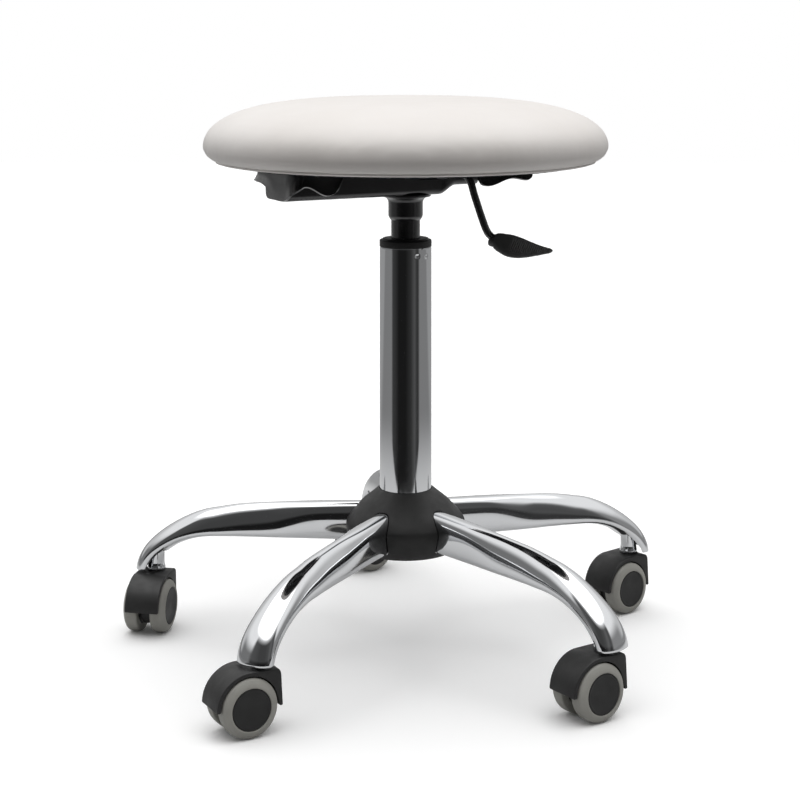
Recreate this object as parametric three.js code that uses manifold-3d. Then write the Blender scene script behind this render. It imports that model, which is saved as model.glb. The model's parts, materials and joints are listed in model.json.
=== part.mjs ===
// A height-adjustable clinic stool: a round upholstered seat on a gas lift, carried by a
// five-armed chromed base on twin-wheel casters. Millimetres, +Z up.
// Heights are worked out from the floor; the finished model is then lowered so that its origin
// lies on the swivel axis at the flat lower end of the piston rod.
import * as THREE from 'three';
import { mergeVertices } from 'three/addons/utils/BufferGeometryUtils.js';
import Module from 'manifold-3d';

const wasm = await Module();
wasm.setup();

// ---- driving dimensions ---------------------------------------------------------------------
const GAP = 0.3; // clearance between pieces that touch on the real object
const ROUND = 24; // facets round a large turned piece
const SMALL_ROUND = 12; // facets round a pin, bore or stem

const ROD_END_Z = 80; // origin of the model, above the floor

const SEAT = { radius: 195, top: 525.3, equator: 477, bottom: 462.5, flatTop: 30, cover: 1.5 };
const SEAT_UNDERSIDE_RADIUS = 172; // where the lower rounding ends and the underside is flat
const COVER_HEM_RADIUS = 150; // inner edge of the cover where it is folded under the board
const CROWN = { radial: 3.25, vertical: 2.25 }; // exponents of the seat's crowned outline
const BOARD = { radius: 170, thickness: 12 };

const PLATE_HEADING = 28; // degrees, direction of the mounting plate's long axis
const PLATE = { top: 464, sheet: 2.5, end: 140, farEnd: 118, corner: 14 };
const PLATE_HALF = { end: 46, waist: 38, reach: 48 }; // half-widths, and how far the waist reaches
const SKIRT = { middle: 443, lobe: 433, endEdge: 448, waistEdge: 458, notchFrom: 30, notchTo: 48 };
const CHANNEL = { from: -137, to: 68, half: 22, bottom: 432.5, wall: 2 };
const CHANNEL_STEP = { from: 26, to: 44, bottom: 441 }; // the walls' lower edge rises past the socket
const LEVER_WINDOW = { from: 4, to: 42, sill: 447.5 };
const BOLT_PLACES = [[-96, -34], [-96, 34], [84, -34], [84, 34]];
const BOLT = { shank: 3, head: 5.5, headHeight: 3.5, headEdge: 2.4, hole: 3.5, length: 13 };

const SOCKET = { radius: 16.75, bottom: 407, top: 445, flange: 24.5, flangeTop: 432.2 };
const PRESSURE_TUBE = { radius: 14, bore: 11, bottom: 200, top: 441, cap: 5 };
const ROD = { radius: 5, top: 346, pistonRadius: 10.5, pistonHeight: 12 };
const VALVE = { radius: 2.5, bottom: 437, top: 449.6, hole: 3.2 };

const LEVER_HEADING = -17; // degrees
const LEVER = { height: 453.8, radius: 3.6, pivot: 40, barRadius: 2.5, barHalf: 12.5 };
const LEVER_BENDS = [ // distance from the swivel axis, height over the straight run
  [-1, 0], [20, 0], [42, 0], [57, -1], [64.5, -8],
  [69, -22], [76.5, -44], [81.5, -56], [87, -61.5], [94, -64],
];
const GRIP = { from: [88, 390.1], to: [145, 381.7], roll: 34, power: 2.4 };
const GRIP_HALF_WIDTH = [
  [0, 7], [0.1, 11.2], [0.27, 14.2], [0.44, 13.7], [0.62, 10.5], [0.79, 6.5], [0.96, 3], [1, 2],
];
const GRIP_HALF_THICKNESS = [[0, 5], [0.1, 4.6], [0.4, 3.6], [0.8, 2.4], [1, 1.4]];
const NOTCH = { half: 6, inner: 50, outer: 84, bottom: 430, top: 460 };
const EAR = { inner: 8, thickness: 2.5, length: 12, drop: 15, hole: 3.1 };

const COLUMN = { radius: 25, wall: 1.8, bottom: 84, top: 381.3, floor: 3, hole: 5.5 };
const BUSHING = { flange: 25.1, step: 22.2, bottom: 338, flangeTop: 388, top: 389.2 };
const SLEEVE = { outer: 29, bottom: 88, top: 140 };
const COVER_WALL = 2.5;
const COVER_BORE = 25.5;
const COVER_OUTLINE = [
  [COVER_BORE, 148], [36.4, 140.2], [46, 131.5], [54.8, 121], [57.4, 115], [55.5, 105], [46.5, 90],
];

const ARM_HEADINGS = [25, 97, 169, 241, 313];
const ARM_WALL = 1.8;
const ARM_LINE = [ // centre line of an arm: distance from the swivel axis, height
  [22, 115.4], [70, 113.4], [115, 111.3], [161, 108.6], [185, 106.1], [199.3, 104.1], [213.7, 100],
  [228.9, 93.2], [242.5, 84.3], [253.4, 74.4], [259.7, 64.4], [262, 55], [262.6, 46],
];
const ARM_HALF_HEIGHT = [
  [0, 18.8], [115, 17.2], [161, 15.7], [198, 12.9], [226, 10.4], [244, 9.7], [270, 9.2],
];
const ARM_HALF_WIDTH = [
  [0, 10.2], [60, 10.8], [115, 12.2], [161, 14.2], [198, 15.9], [224, 16.9], [270, 17.6],
];
// Widest line of an arm's section, as a share of its half-height.
const ARM_BELLY = [[0, -0.2], [90, -0.22], [125, -0.55], [200, -0.55], [235, -0.35], [270, 0]];
const ARM_SECTION_POWER = 2.5;
const STEM_REACH = 252; // swivel axis to caster stem axis
const BOSS = { radius: 8.5, bottom: 56.2, top: 78.5, bore: 5.8, boreTop: 76.5 };
const TIP = { cutStart: [236, 85], cutEnd: [256.6, 58] }; // slanted end cut, then level

const CASTER_HEADINGS = [41, 40, 79, 29, 35]; // leading direction of each caster at rest
const WHEEL_RADIUS = 25;
const TRAIL = 18;
const WHEEL = { inner: 6.5, outer: 21.4, disc: 17.6, facets: 16 };
const HOOD = { radius: 29.6, arch: 26.4, half: 16.6, front: 11.4, corner: 4.5, skirt: 22.5, fin: 3.2 };
const WEB = { half: 5.6, lug: 14.5, lugHalf: 4 };
const NECK = { radius: 9.5, bottom: 51 };
const NECK_TOP = 55;
const STEM = { radius: 5.5, bottom: 45, collar: 8 };
const AXLE = { radius: 3, half: 18 };

// ---- materials ------------------------------------------------------------------------------
const finish = (color, roughness, metalness) =>
  new THREE.MeshStandardMaterial({ color, roughness, metalness });
const vinyl = () => finish(0xe6e0dc, 0.45, 0);
const foam = () => finish(0xe2d39a, 0.95, 0);
const plywood = () => finish(0xb98d5c, 0.7, 0);
const blackSteel = () => finish(0x1b1b1d, 0.35, 0.3);
const chrome = () => finish(0xc9ccd0, 0.08, 1);
const zincSteel = () => finish(0x9b9da0, 0.35, 1);
const blackPlastic = () => finish(0x242426, 0.55, 0);
const greyTread = () => finish(0x7c7972, 0.7, 0);

// ---- geometry helpers -----------------------------------------------------------------------
const radians = THREE.MathUtils.degToRad;
const UP = new THREE.Vector3(0, 0, 1);

// One closed triangle mesh: shared corners joined, empty triangles dropped, faces pointing out.
function tidyMesh(geometry) {
  const bare = new THREE.BufferGeometry();
  bare.setAttribute('position', geometry.getAttribute('position').clone());
  if (geometry.index) bare.setIndex(geometry.index.clone());
  const merged = mergeVertices(bare, 1e-3);
  const position = merged.getAttribute('position');
  const corner = (i) => new THREE.Vector3().fromBufferAttribute(position, i);
  const faces = [];
  let volume = 0;
  for (let i = 0; i < merged.index.count; i += 3) {
    const [a, b, c] = [0, 1, 2].map((k) => merged.index.getX(i + k));
    if (a === b || b === c || c === a) continue;
    faces.push([a, b, c]);
    volume += corner(a).dot(corner(b).cross(corner(c)));
  }
  merged.setIndex((volume < 0 ? faces.map(([a, b, c]) => [a, c, b]) : faces).flat());
  return merged;
}

function toSolid(geometry) {
  const mesh = tidyMesh(geometry);
  const vertProperties = new Float32Array(mesh.getAttribute('position').array);
  const triVerts = new Uint32Array(mesh.index.array);
  return new wasm.Manifold(new wasm.Mesh({ numProp: 3, vertProperties, triVerts }));
}

function fromSolid(solid) {
  const mesh = solid.getMesh();
  const geometry = new THREE.BufferGeometry();
  geometry.setAttribute('position', new THREE.BufferAttribute(mesh.vertProperties, 3));
  geometry.setIndex(new THREE.BufferAttribute(mesh.triVerts, 1));
  return geometry;
}

function cut(base, ...tools) {
  return tools.reduce((solid, tool) => solid.subtract(tool), base);
}

function join(base, ...others) {
  return others.reduce((solid, other) => solid.add(other), base);
}

// A turned piece about +Z from [radius, height] pairs.
function turned(profile, facets = ROUND, startAngle = 0) {
  const points = profile.map(([r, z]) => new THREE.Vector2(r, z));
  const closed = profile[0][0] > 0;
  if (closed) points.push(points[0].clone());
  return new THREE.LatheGeometry(points, facets, startAngle).rotateX(Math.PI / 2);
}

function cylinder(radius, bottom, top, facets = SMALL_ROUND, topRadius = radius) {
  const geometry = new THREE.CylinderGeometry(topRadius, radius, top - bottom, facets);
  return geometry.rotateX(Math.PI / 2).translate(0, 0, (bottom + top) / 2);
}

function ring(outer, inner, bottom, top, facets = ROUND) {
  return turned([[inner, bottom], [outer, bottom], [outer, top], [inner, top]], facets);
}

function box(from, to) {
  const size = to.map((v, i) => v - from[i]);
  const centre = to.map((v, i) => (v + from[i]) / 2);
  return new THREE.BoxGeometry(...size).translate(...centre);
}

// A flat outline in the x-z plane, thickened from y = from to y = to.
function slab(shape, from, to, curveSegments = 7) {
  const geometry = new THREE.ExtrudeGeometry(shape, { depth: to - from, bevelEnabled: false, curveSegments });
  return toSolid(geometry.rotateX(Math.PI / 2).translate(0, to, 0));
}

// A closed skin over a list of equal rings of points, with flat caps on the first and last.
function skin(rings) {
  const count = rings[0].length;
  const positions = rings.flat().flatMap((p) => [p.x, p.y, p.z]);
  const index = [];
  for (let s = 0; s + 1 < rings.length; s++) {
    for (let k = 0; k < count; k++) {
      const next = (k + 1) % count;
      const [a, b, c, d] = [s * count + k, s * count + next, (s + 1) * count + next, (s + 1) * count + k];
      index.push(a, b, c, a, c, d);
    }
  }
  for (let k = 1; k + 1 < count; k++) {
    index.push(0, k + 1, k);
    const last = (rings.length - 1) * count;
    index.push(last, last + k, last + k + 1);
  }
  const geometry = new THREE.BufferGeometry();
  geometry.setAttribute('position', new THREE.Float32BufferAttribute(positions, 3));
  geometry.setIndex(index);
  return geometry;
}

// Outline of a rounded bar in the plane of two unit vectors: a superellipse whose widest line
// lies at the share `belly` of its half-height.
function barRing(centre, across, over, { halfWidth, halfHeight, power, belly = 0 }, count) {
  return Array.from({ length: count }, (_, k) => {
    const angle = (2 * Math.PI * (k + 0.5)) / count;
    const [c, s] = [Math.cos(angle), Math.sin(angle)];
    const w = halfWidth * Math.sign(c) * Math.abs(c) ** (2 / power);
    const h = belly + (1 - Math.sign(s) * belly) * Math.sign(s) * Math.abs(s) ** (2 / power);
    return centre.clone().addScaledVector(across, w).addScaledVector(over, h * halfHeight);
  });
}

// Value at t of a table of [t, value] pairs, held constant past its ends.
function between(table, t) {
  const next = table.findIndex(([u]) => u > t);
  if (next === 0) return table[0][1];
  if (next < 0) return table.at(-1)[1];
  const [[t0, v0], [t1, v1]] = [table[next - 1], table[next]];
  return v0 + ((v1 - v0) * (t - t0)) / (t1 - t0);
}

// ---- seat -----------------------------------------------------------------------------------
// Upper outline of the crowned cushion, drawn in by `inset`, from the flat centre to the equator.
function crownOutline(inset, steps) {
  const radius = SEAT.radius - inset;
  const height = SEAT.top - inset - SEAT.equator;
  const outline = [[0, SEAT.top - inset], [SEAT.flatTop, SEAT.top - inset]];
  for (let k = 1; k <= steps; k++) {
    const angle = (Math.PI / 2) * (k / steps);
    const r = radius * Math.sin(angle) ** (2 / CROWN.radial);
    const z = SEAT.equator + height * Math.cos(angle) ** (2 / CROWN.vertical);
    if (r > SEAT.flatTop * 2) outline.push([r, z]);
  }
  return outline;
}

// Lower rounding of the cushion, from below the equator to the flat underside.
function lowerOutline(inset, steps) {
  const reach = SEAT.radius - SEAT_UNDERSIDE_RADIUS - inset;
  const drop = SEAT.equator - SEAT.bottom - inset;
  return Array.from({ length: steps }, (_, k) => {
    const angle = (Math.PI / 2) * ((k + 1) / steps);
    return [SEAT_UNDERSIDE_RADIUS + reach * Math.cos(angle), SEAT.equator - drop * Math.sin(angle)];
  });
}

function seatCover() {
  const outer = [...crownOutline(0, 6), ...lowerOutline(0, 3)];
  const inner = [...crownOutline(SEAT.cover, 6), ...lowerOutline(SEAT.cover, 3)].reverse();
  const hem = [[COVER_HEM_RADIUS, SEAT.bottom], [COVER_HEM_RADIUS, SEAT.bottom + SEAT.cover]];
  return turned([...outer, ...hem, ...inner], 32);
}

const BOARD_Z = SEAT.bottom + SEAT.cover + GAP;
const boltWorld = BOLT_PLACES.map(([x, y]) =>
  new THREE.Vector3(x, y, 0).applyAxisAngle(UP, radians(PLATE_HEADING)));

function boltHoles(bottom, top) {
  return boltWorld.map((p) => toSolid(cylinder(BOLT.hole, bottom, top, 12).translate(p.x, p.y, 0)));
}

function seatFoam() {
  const clearance = SEAT.cover + GAP;
  const base = BOARD_Z + BOARD.thickness + GAP;
  const crown = crownOutline(clearance, 6).slice(0, -1);
  return turned([...crown, [SEAT.radius - clearance - 0.6, base], [0, base]], 32);
}

function seatBoard() {
  const disc = toSolid(cylinder(BOARD.radius, BOARD_Z, BOARD_Z + BOARD.thickness, 32));
  return fromSolid(cut(disc, ...boltHoles(BOARD_Z - 1, BOARD_Z + BOARD.thickness + 1)));
}

function seatBolt(place) {
  const under = PLATE.top - PLATE.sheet - GAP;
  const profile = [
    [0, under - BOLT.headHeight], [BOLT.head - 1, under - BOLT.headHeight],
    [BOLT.head, under - BOLT.headEdge], [BOLT.head, under],
    [BOLT.shank, under], [BOLT.shank, under + BOLT.length], [0, under + BOLT.length],
  ];
  return turned(profile, 12).translate(place.x, place.y, 0);
}

// ---- mounting plate -------------------------------------------------------------------------
// Plan outline: a bar with broad rounded ends and a drawn-in waist, along its own x axis.
function plateOutline(inset) {
  const { end, farEnd, corner } = PLATE;
  const { end: broad, waist, reach } = PLATE_HALF;
  const sides = 32;
  const half = (x) => broad - (broad - waist) * Math.exp(-((x / reach) ** 2)) - inset;
  const near = [];
  for (let k = 0; k <= sides; k++) {
    const x = -end + inset + ((end + farEnd - 2 * inset) * k) / sides;
    const toEnd = Math.min(x + end - inset, farEnd - inset - x);
    const rounding = toEnd < corner ? corner - Math.sqrt(corner ** 2 - (corner - toEnd) ** 2) : 0;
    near.push([x, -(half(x) - rounding)]);
  }
  const far = near.map(([x, y]) => [x, -y]).reverse();
  const shares = [0.25, 0.5, 0.75];
  const side = ([x0, y0], [, y1]) => shares.map((share) => [x0, y0 + (y1 - y0) * share]);
  return [...near, ...side(near.at(-1), far[0]), ...far, ...side(far.at(-1), near[0])];
}

// 0 before `from`, 1 after `to`, with an even slope between them.
const ramp = (value, from, to) => THREE.MathUtils.clamp((value - from) / (to - from), 0, 1);

// Lower edge of the turned-down skirt: lobes towards both ends, none along the middle, and one
// deep lobe that wraps round a corner of the longer end.
function skirtHeight(x, y) {
  const longLobes = 4.5 * Math.cos((2 * Math.PI * (x + 104)) / 44);
  const shortLobes = 2.6 * Math.cos((2 * Math.PI * (x - 65)) / 47) - 0.06 * (x - 65);
  const tip = 6 * Math.exp(-(((PLATE.farEnd - x) / 9) ** 2));
  const lobed = SKIRT.middle - (x < 0 ? longLobes : shortLobes) + tip;
  const middle = ramp(x, -96, -86) * (1 - ramp(x, SKIRT.notchFrom, SKIRT.notchTo));
  const side = lobed + (SKIRT.waistEdge - lobed) * middle;
  const end = SKIRT.endEdge - (SKIRT.endEdge - SKIRT.lobe) / (1 + ((y + 18) / 22) ** 4);
  return end + (side - end) * ramp(x, -PLATE.end + 1, -PLATE.end + 13);
}

function platePan() {
  const outer = plateOutline(0);
  const inner = plateOutline(PLATE.sheet);
  const count = outer.length;
  const level = (outline, height) => outline.map(([x, y]) => [x, y, height(x, y)]);
  const positions = [
    ...level(outer, () => PLATE.top), ...level(outer, skirtHeight),
    ...level(inner, skirtHeight), ...level(inner, () => PLATE.top - PLATE.sheet),
  ].flat();
  const index = [];
  for (let band = 0; band < 3; band++) {
    for (let k = 0; k < count; k++) {
      const next = (k + 1) % count;
      const [a, b] = [band * count + k, band * count + next];
      index.push(a, a + count, b + count, a, b + count, b);
    }
  }
  const cap = THREE.ShapeUtils.triangulateShape(outer.map(([x, y]) => new THREE.Vector2(x, y)), []);
  const under = THREE.ShapeUtils.triangulateShape(inner.map(([x, y]) => new THREE.Vector2(x, y)), []);
  cap.forEach(([a, b, c]) => index.push(a, b, c));
  under.forEach(([a, b, c]) => index.push(3 * count + a, 3 * count + c, 3 * count + b));
  const geometry = new THREE.BufferGeometry();
  geometry.setAttribute('position', new THREE.Float32BufferAttribute(positions, 3));
  geometry.setIndex(index);
  return toSolid(geometry);
}

// Box channel welded under the pan: its floor carries the lift socket. Past the socket only its
// walls go on, and one of them has a window for the lever.
function plateChannel() {
  const { from, to, half, bottom, wall } = CHANNEL;
  const { from: rampFrom, to: rampTo, bottom: raised } = CHANNEL_STEP;
  const roof = PLATE.top - PLATE.sheet + 0.5;
  const outside = toSolid(box([from, -half, bottom], [to, half, roof]));
  const inside = toSolid(box([from + wall, -half + wall, bottom + wall], [to + 1, half - wall, roof + 1]));
  const window = toSolid(box(
    [LEVER_WINDOW.from, -half - 1, LEVER_WINDOW.sill], [LEVER_WINDOW.to, -half + wall + 0.5, roof + 1],
  ));
  const under = new THREE.Shape([
    [rampFrom, bottom - 1], [rampFrom, bottom], [rampTo, raised], [to + 1, raised], [to + 1, bottom - 1],
  ].map((p) => new THREE.Vector2(...p)));
  return cut(outside, inside, window, slab(under, -half - 1, half + 1));
}

function pivotEars() {
  const roof = PLATE.top - PLATE.sheet + 0.5;
  const start = LEVER.pivot - EAR.length / 2;
  return [-1, 1].map((side) => {
    const edge = [EAR.inner * side, (EAR.inner + EAR.thickness) * side].sort((a, b) => a - b);
    const ear = toSolid(box([start, edge[0], roof - EAR.drop], [start + EAR.length, edge[1], roof]));
    return ear.rotate([0, 0, LEVER_HEADING]);
  });
}

function leverBarBore() {
  const bore = new THREE.CylinderGeometry(EAR.hole, EAR.hole, 40, 12).translate(LEVER.pivot, 0, LEVER.height);
  return toSolid(bore.rotateZ(radians(LEVER_HEADING)));
}

// Notch in the skirt that lets the lever out and leaves room for its travel.
function leverNotch() {
  const { half, inner, outer, bottom, top } = NOTCH;
  return toSolid(box([inner, -half, bottom], [outer, half, top])).rotate([0, 0, LEVER_HEADING]);
}

function seatPlate() {
  const turn = [0, 0, PLATE_HEADING];
  const body = join(platePan().rotate(turn), plateChannel().rotate(turn), ...pivotEars());
  const { bottom } = CHANNEL;
  const socketHole = toSolid(cylinder(SOCKET.radius + GAP + 0.1, bottom - 1, bottom + 5, ROUND));
  const holes = boltHoles(PLATE.top - 6, PLATE.top + 1);
  return fromSolid(cut(body, socketHole, leverBarBore(), leverNotch(), ...holes));
}

function seatSocket() {
  const { radius, bottom, top, flange, flangeTop } = SOCKET;
  const bore = PRESSURE_TUBE.radius + GAP;
  return turned([
    [bore, bottom], [radius - 2.5, bottom], [radius, bottom + 3], [radius, flangeTop - 5],
    [radius + 3, flangeTop - 3], [flange, flangeTop - 2.2], [flange, flangeTop], [radius, flangeTop],
    [radius, top], [bore, top],
  ], ROUND);
}

// ---- gas lift -------------------------------------------------------------------------------
function pressureTube() {
  const { radius, bore, bottom, top, cap } = PRESSURE_TUBE;
  return turned([
    [bore, bottom], [radius - 0.8, bottom], [radius, bottom + 1.5], [radius, top - 2], [radius - 2, top],
    [VALVE.hole, top], [VALVE.hole, top - cap], [bore, top - cap],
  ], 24);
}

function pistonRod() {
  const { radius, top, pistonRadius, pistonHeight } = ROD;
  const seat = top - pistonHeight;
  const groove = [[radius - 1, ROD_END_Z + 1.9], [radius - 1, ROD_END_Z + 3.5]];
  return turned([
    [0, ROD_END_Z], [radius, ROD_END_Z], [radius, ROD_END_Z + 1.9], ...groove, [radius, ROD_END_Z + 3.5],
    [radius, seat], [pistonRadius, seat], [pistonRadius, top], [0, top],
  ], SMALL_ROUND);
}

function valvePin() {
  return turned([
    [0, VALVE.bottom], [VALVE.radius, VALVE.bottom], [VALVE.radius, VALVE.top - 0.6],
    [VALVE.radius - 0.6, VALVE.top], [0, VALVE.top],
  ], 12);
}

// Spring clip in the rod's groove, open on one side.
function retainingClip() {
  const clip = toSolid(ring(9, ROD.radius - 1 + 0.25, ROD_END_Z + 2.15, ROD_END_Z + 3.25, 24));
  const mouth = toSolid(box([0, -2.6, ROD_END_Z], [12, 2.6, ROD_END_Z + 6]));
  return fromSolid(clip.subtract(mouth));
}

function columnTube() {
  const { radius, wall, bottom, top, floor, hole } = COLUMN;
  return turned([
    [hole, bottom], [radius - 1, bottom], [radius, bottom + 1], [radius, top - 0.6], [radius - 0.6, top],
    [radius - wall, top], [radius - wall, bottom + floor], [hole, bottom + floor],
  ], ROUND);
}

function guideBushing() {
  const bore = PRESSURE_TUBE.radius + 0.35;
  const liner = COLUMN.radius - COLUMN.wall - GAP;
  const { flange, step, bottom, flangeTop, top } = BUSHING;
  const seat = COLUMN.top + GAP;
  return turned([
    [bore, bottom], [liner - 1, bottom], [liner, bottom + 2], [liner, seat], [flange, seat],
    [flange, flangeTop - 0.8], [flange - 0.8, flangeTop], [step, flangeTop], [step - 0.6, top], [bore, top],
  ], ROUND);
}

function thrustBearing() {
  const base = COLUMN.bottom + COLUMN.floor + GAP;
  return ring(11, ROD.radius + 0.6, base, base + 4.5, 24);
}

// ---- hand lever -----------------------------------------------------------------------------
// Straight run over the valve, a bend downwards and a second bend out towards the grip.
const leverPath = new THREE.CatmullRomCurve3(
  LEVER_BENDS.map(([r, rise]) => new THREE.Vector3(r, 0, LEVER.height + rise)), false, 'centripetal');

// Round sections of the lever's bar between two shares of its path.
function leverRings(from, to, stations, radius) {
  const across = new THREE.Vector3(0, 1, 0);
  return Array.from({ length: stations + 1 }, (_, k) => {
    const t = from + ((to - from) * k) / stations;
    const over = leverPath.getTangent(t).clone().cross(across).negate();
    const section = { halfWidth: radius, halfHeight: radius, power: 2 };
    return barRing(leverPath.getPoint(t), across, over, section, 8);
  });
}

function leverRod() {
  const bar = new THREE.CylinderGeometry(LEVER.barRadius, LEVER.barRadius, 2 * LEVER.barHalf, 12);
  bar.translate(LEVER.pivot, 0, LEVER.height);
  const rod = toSolid(skin(leverRings(0, 1, 16, LEVER.radius)));
  return fromSolid(join(rod, toSolid(bar)).rotate([0, 0, LEVER_HEADING]));
}

// The lever's outer end, enlarged by the clearance, as a cutter for the grip's socket.
function leverSocketRings() {
  const rings = leverRings(0.62, 1, 6, LEVER.radius + GAP);
  const beyond = leverPath.getTangent(1).multiplyScalar(2 * GAP);
  return [...rings, rings.at(-1).map((p) => p.clone().add(beyond))];
}

// Leaf-shaped finger grip, rolled about its own length so that its ribbed face looks outwards.
function leverGrip() {
  const [start, end] = [GRIP.from, GRIP.to].map(([x, z]) => new THREE.Vector3(x, 0, z));
  const along = end.clone().sub(start).normalize();
  const across = new THREE.Vector3(0, 1, 0).applyAxisAngle(along, radians(GRIP.roll));
  const over = along.clone().cross(across);
  const rings = GRIP_HALF_WIDTH.map(([t]) => {
    const section = {
      halfWidth: between(GRIP_HALF_WIDTH, t), halfHeight: between(GRIP_HALF_THICKNESS, t), power: GRIP.power,
    };
    return barRing(start.clone().lerp(end, t), across, over, section, 14);
  });
  const rodHole = toSolid(skin(leverSocketRings()));
  return fromSolid(toSolid(skin(rings)).subtract(rodHole).rotate([0, 0, LEVER_HEADING]));
}

// ---- five-armed base ------------------------------------------------------------------------
function hubSleeve() {
  return ring(SLEEVE.outer, COLUMN.radius + GAP, SLEEVE.bottom, SLEEVE.top);
}

// The arm's tube without its end cut, grown by `grow`, between two shares of its centre line.
function armSkin(grow, from, to, stations, count) {
  const line = new THREE.SplineCurve(ARM_LINE.map((p) => new THREE.Vector2(...p)));
  const across = new THREE.Vector3(0, 1, 0);
  const rings = Array.from({ length: stations + 1 }, (_, k) => {
    const t = from + ((to - from) * k) / stations;
    const onLine = THREE.MathUtils.clamp(t, 0, 1);
    const tangent = line.getTangent(onLine);
    const point = line.getPoint(onLine).addScaledVector(tangent, (t - onLine) * 100);
    const section = {
      halfWidth: between(ARM_HALF_WIDTH, point.x) + grow,
      halfHeight: between(ARM_HALF_HEIGHT, point.x) + grow,
      power: ARM_SECTION_POWER,
      belly: between(ARM_BELLY, point.x),
    };
    const over = new THREE.Vector3(-tangent.y, 0, tangent.x);
    return barRing(new THREE.Vector3(point.x, 0, point.y), across, over, section, count);
  });
  return toSolid(skin(rings));
}

// Everything below the slanted end cut and below the tip.
function armEndCutter() {
  const { cutStart, cutEnd } = TIP;
  const far = STEM_REACH + 50;
  const waste = new THREE.Shape([
    cutStart, cutEnd, [far, cutEnd[1]], [far, 20], [cutStart[0] - 40, 20], [cutStart[0] - 40, cutStart[1]],
  ].map((p) => new THREE.Vector2(...p)));
  return slab(waste, -30, 30);
}

function baseArm(heading) {
  const tube = armSkin(0, 0, 1, 11, 10).subtract(armSkin(-ARM_WALL, -0.01, 1.01, 11, 10));
  const root = toSolid(cylinder(SLEEVE.outer + GAP, 60, 160, ROUND));
  const boss = toSolid(cylinder(BOSS.radius, BOSS.bottom, BOSS.top, SMALL_ROUND).translate(STEM_REACH, 0, 0));
  const bore = toSolid(
    cylinder(BOSS.bore, BOSS.bottom - 2, BOSS.boreTop, SMALL_ROUND).translate(STEM_REACH, 0, 0));
  const arm = cut(join(cut(tube, root, armEndCutter()), boss), bore);
  return fromSolid(arm.rotate([0, 0, heading]));
}

function hubCover() {
  const inner = COVER_OUTLINE.map(([r, z], k) => {
    const [r0, z0] = COVER_OUTLINE[Math.max(0, k - 1)];
    const [r1, z1] = COVER_OUTLINE[Math.min(COVER_OUTLINE.length - 1, k + 1)];
    const length = Math.hypot(r1 - r0, z1 - z0);
    return [r + (COVER_WALL * (z1 - z0)) / length, z - (COVER_WALL * (r1 - r0)) / length];
  });
  const [top, rim] = [COVER_OUTLINE[0], COVER_OUTLINE.at(-1)];
  inner[0] = [COVER_BORE, top[1] - 1.4 * COVER_WALL];
  inner[inner.length - 1] = [rim[0] - COVER_WALL, rim[1]];
  const shell = toSolid(turned([...COVER_OUTLINE, ...inner.reverse()], 24));
  const slots = ARM_HEADINGS.map((heading) => armSkin(1.5 * GAP, 0.01, 0.2, 2, 10).rotate([0, 0, heading]));
  return fromSolid(cut(shell, ...slots));
}

// ---- casters --------------------------------------------------------------------------------
// Each caster is drawn with its stem on the z axis and its leading side towards +x.
function casterStem() {
  const { radius, bottom, collar } = STEM;
  return turned([
    [0, bottom], [radius - 1, bottom], [radius, bottom + 1], [radius, NECK_TOP + GAP],
    [collar, NECK_TOP + GAP], [collar, BOSS.bottom - GAP], [radius, BOSS.bottom - GAP],
    [radius, BOSS.boreTop - 2], [radius - 1.5, BOSS.boreTop - GAP], [0, BOSS.boreTop - GAP],
  ], SMALL_ROUND);
}

// Side view of the hood: fender arc, flat top, rounded leading corner and a slim front fin.
function hoodOutline() {
  const { radius, front, corner, skirt, fin } = HOOD;
  const top = WHEEL_RADIUS + radius;
  const shape = new THREE.Shape();
  shape.moveTo(-TRAIL, WHEEL_RADIUS);
  shape.lineTo(-TRAIL - radius, WHEEL_RADIUS);
  shape.absarc(-TRAIL, WHEEL_RADIUS, radius, Math.PI, Math.PI / 2, true);
  shape.absarc(front - corner, top - corner, corner, Math.PI / 2, 0, true);
  shape.lineTo(front + 0.6, skirt);
  shape.lineTo(front - fin, skirt);
  shape.lineTo(front - fin, WHEEL_RADIUS + 5);
  shape.closePath();
  return shape;
}

function disc(radius, from, to, facets) {
  const geometry = new THREE.CylinderGeometry(radius, radius, to - from, facets, 1, false, Math.PI / facets);
  return toSolid(geometry.translate(-TRAIL, (from + to) / 2, WHEEL_RADIUS));
}

function casterHousing() {
  const { arch, half } = HOOD;
  const hood = slab(hoodOutline(), -half, half);
  const wells = [[-half - 1, -WEB.half], [WEB.half, half + 1]].map(([from, to]) => disc(arch, from, to, 24));
  const lug = disc(WEB.lug, -WEB.lugHalf, WEB.lugHalf, 14);
  const collar = toSolid(cylinder(NECK.radius, NECK.bottom, NECK_TOP, 16));
  const stemBore = toSolid(cylinder(STEM.radius + 0.4, STEM.bottom - 1.5, NECK_TOP + 5, SMALL_ROUND));
  const axleBore = disc(AXLE.radius + GAP, -half, half, 12);
  return fromSolid(cut(join(cut(hood, ...wells), lug, collar), stemBore, axleBore));
}

function axle() {
  return new THREE.CylinderGeometry(AXLE.radius, AXLE.radius, 2 * AXLE.half, 12);
}

// Wheel pieces are turned about +Z from the caster's middle outwards and then laid on their side.
// A tread facet lies flat on the floor.
function onAxle(geometry, side) {
  return geometry.rotateX((side * -Math.PI) / 2);
}

function wheelTread(side) {
  const { inner, outer, disc: seat, facets } = WHEEL;
  const rim = WHEEL_RADIUS / Math.cos(Math.PI / facets);
  const bore = seat + GAP;
  const profile = [
    [bore, inner], [rim - 1.2, inner], [rim, inner + 1.2], [rim, outer - 4.8], [rim - 0.9, outer - 3],
    [bore + 1.2, outer - 0.1], [bore, outer],
  ];
  return onAxle(turned(profile, facets, Math.PI / facets), side);
}

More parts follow.
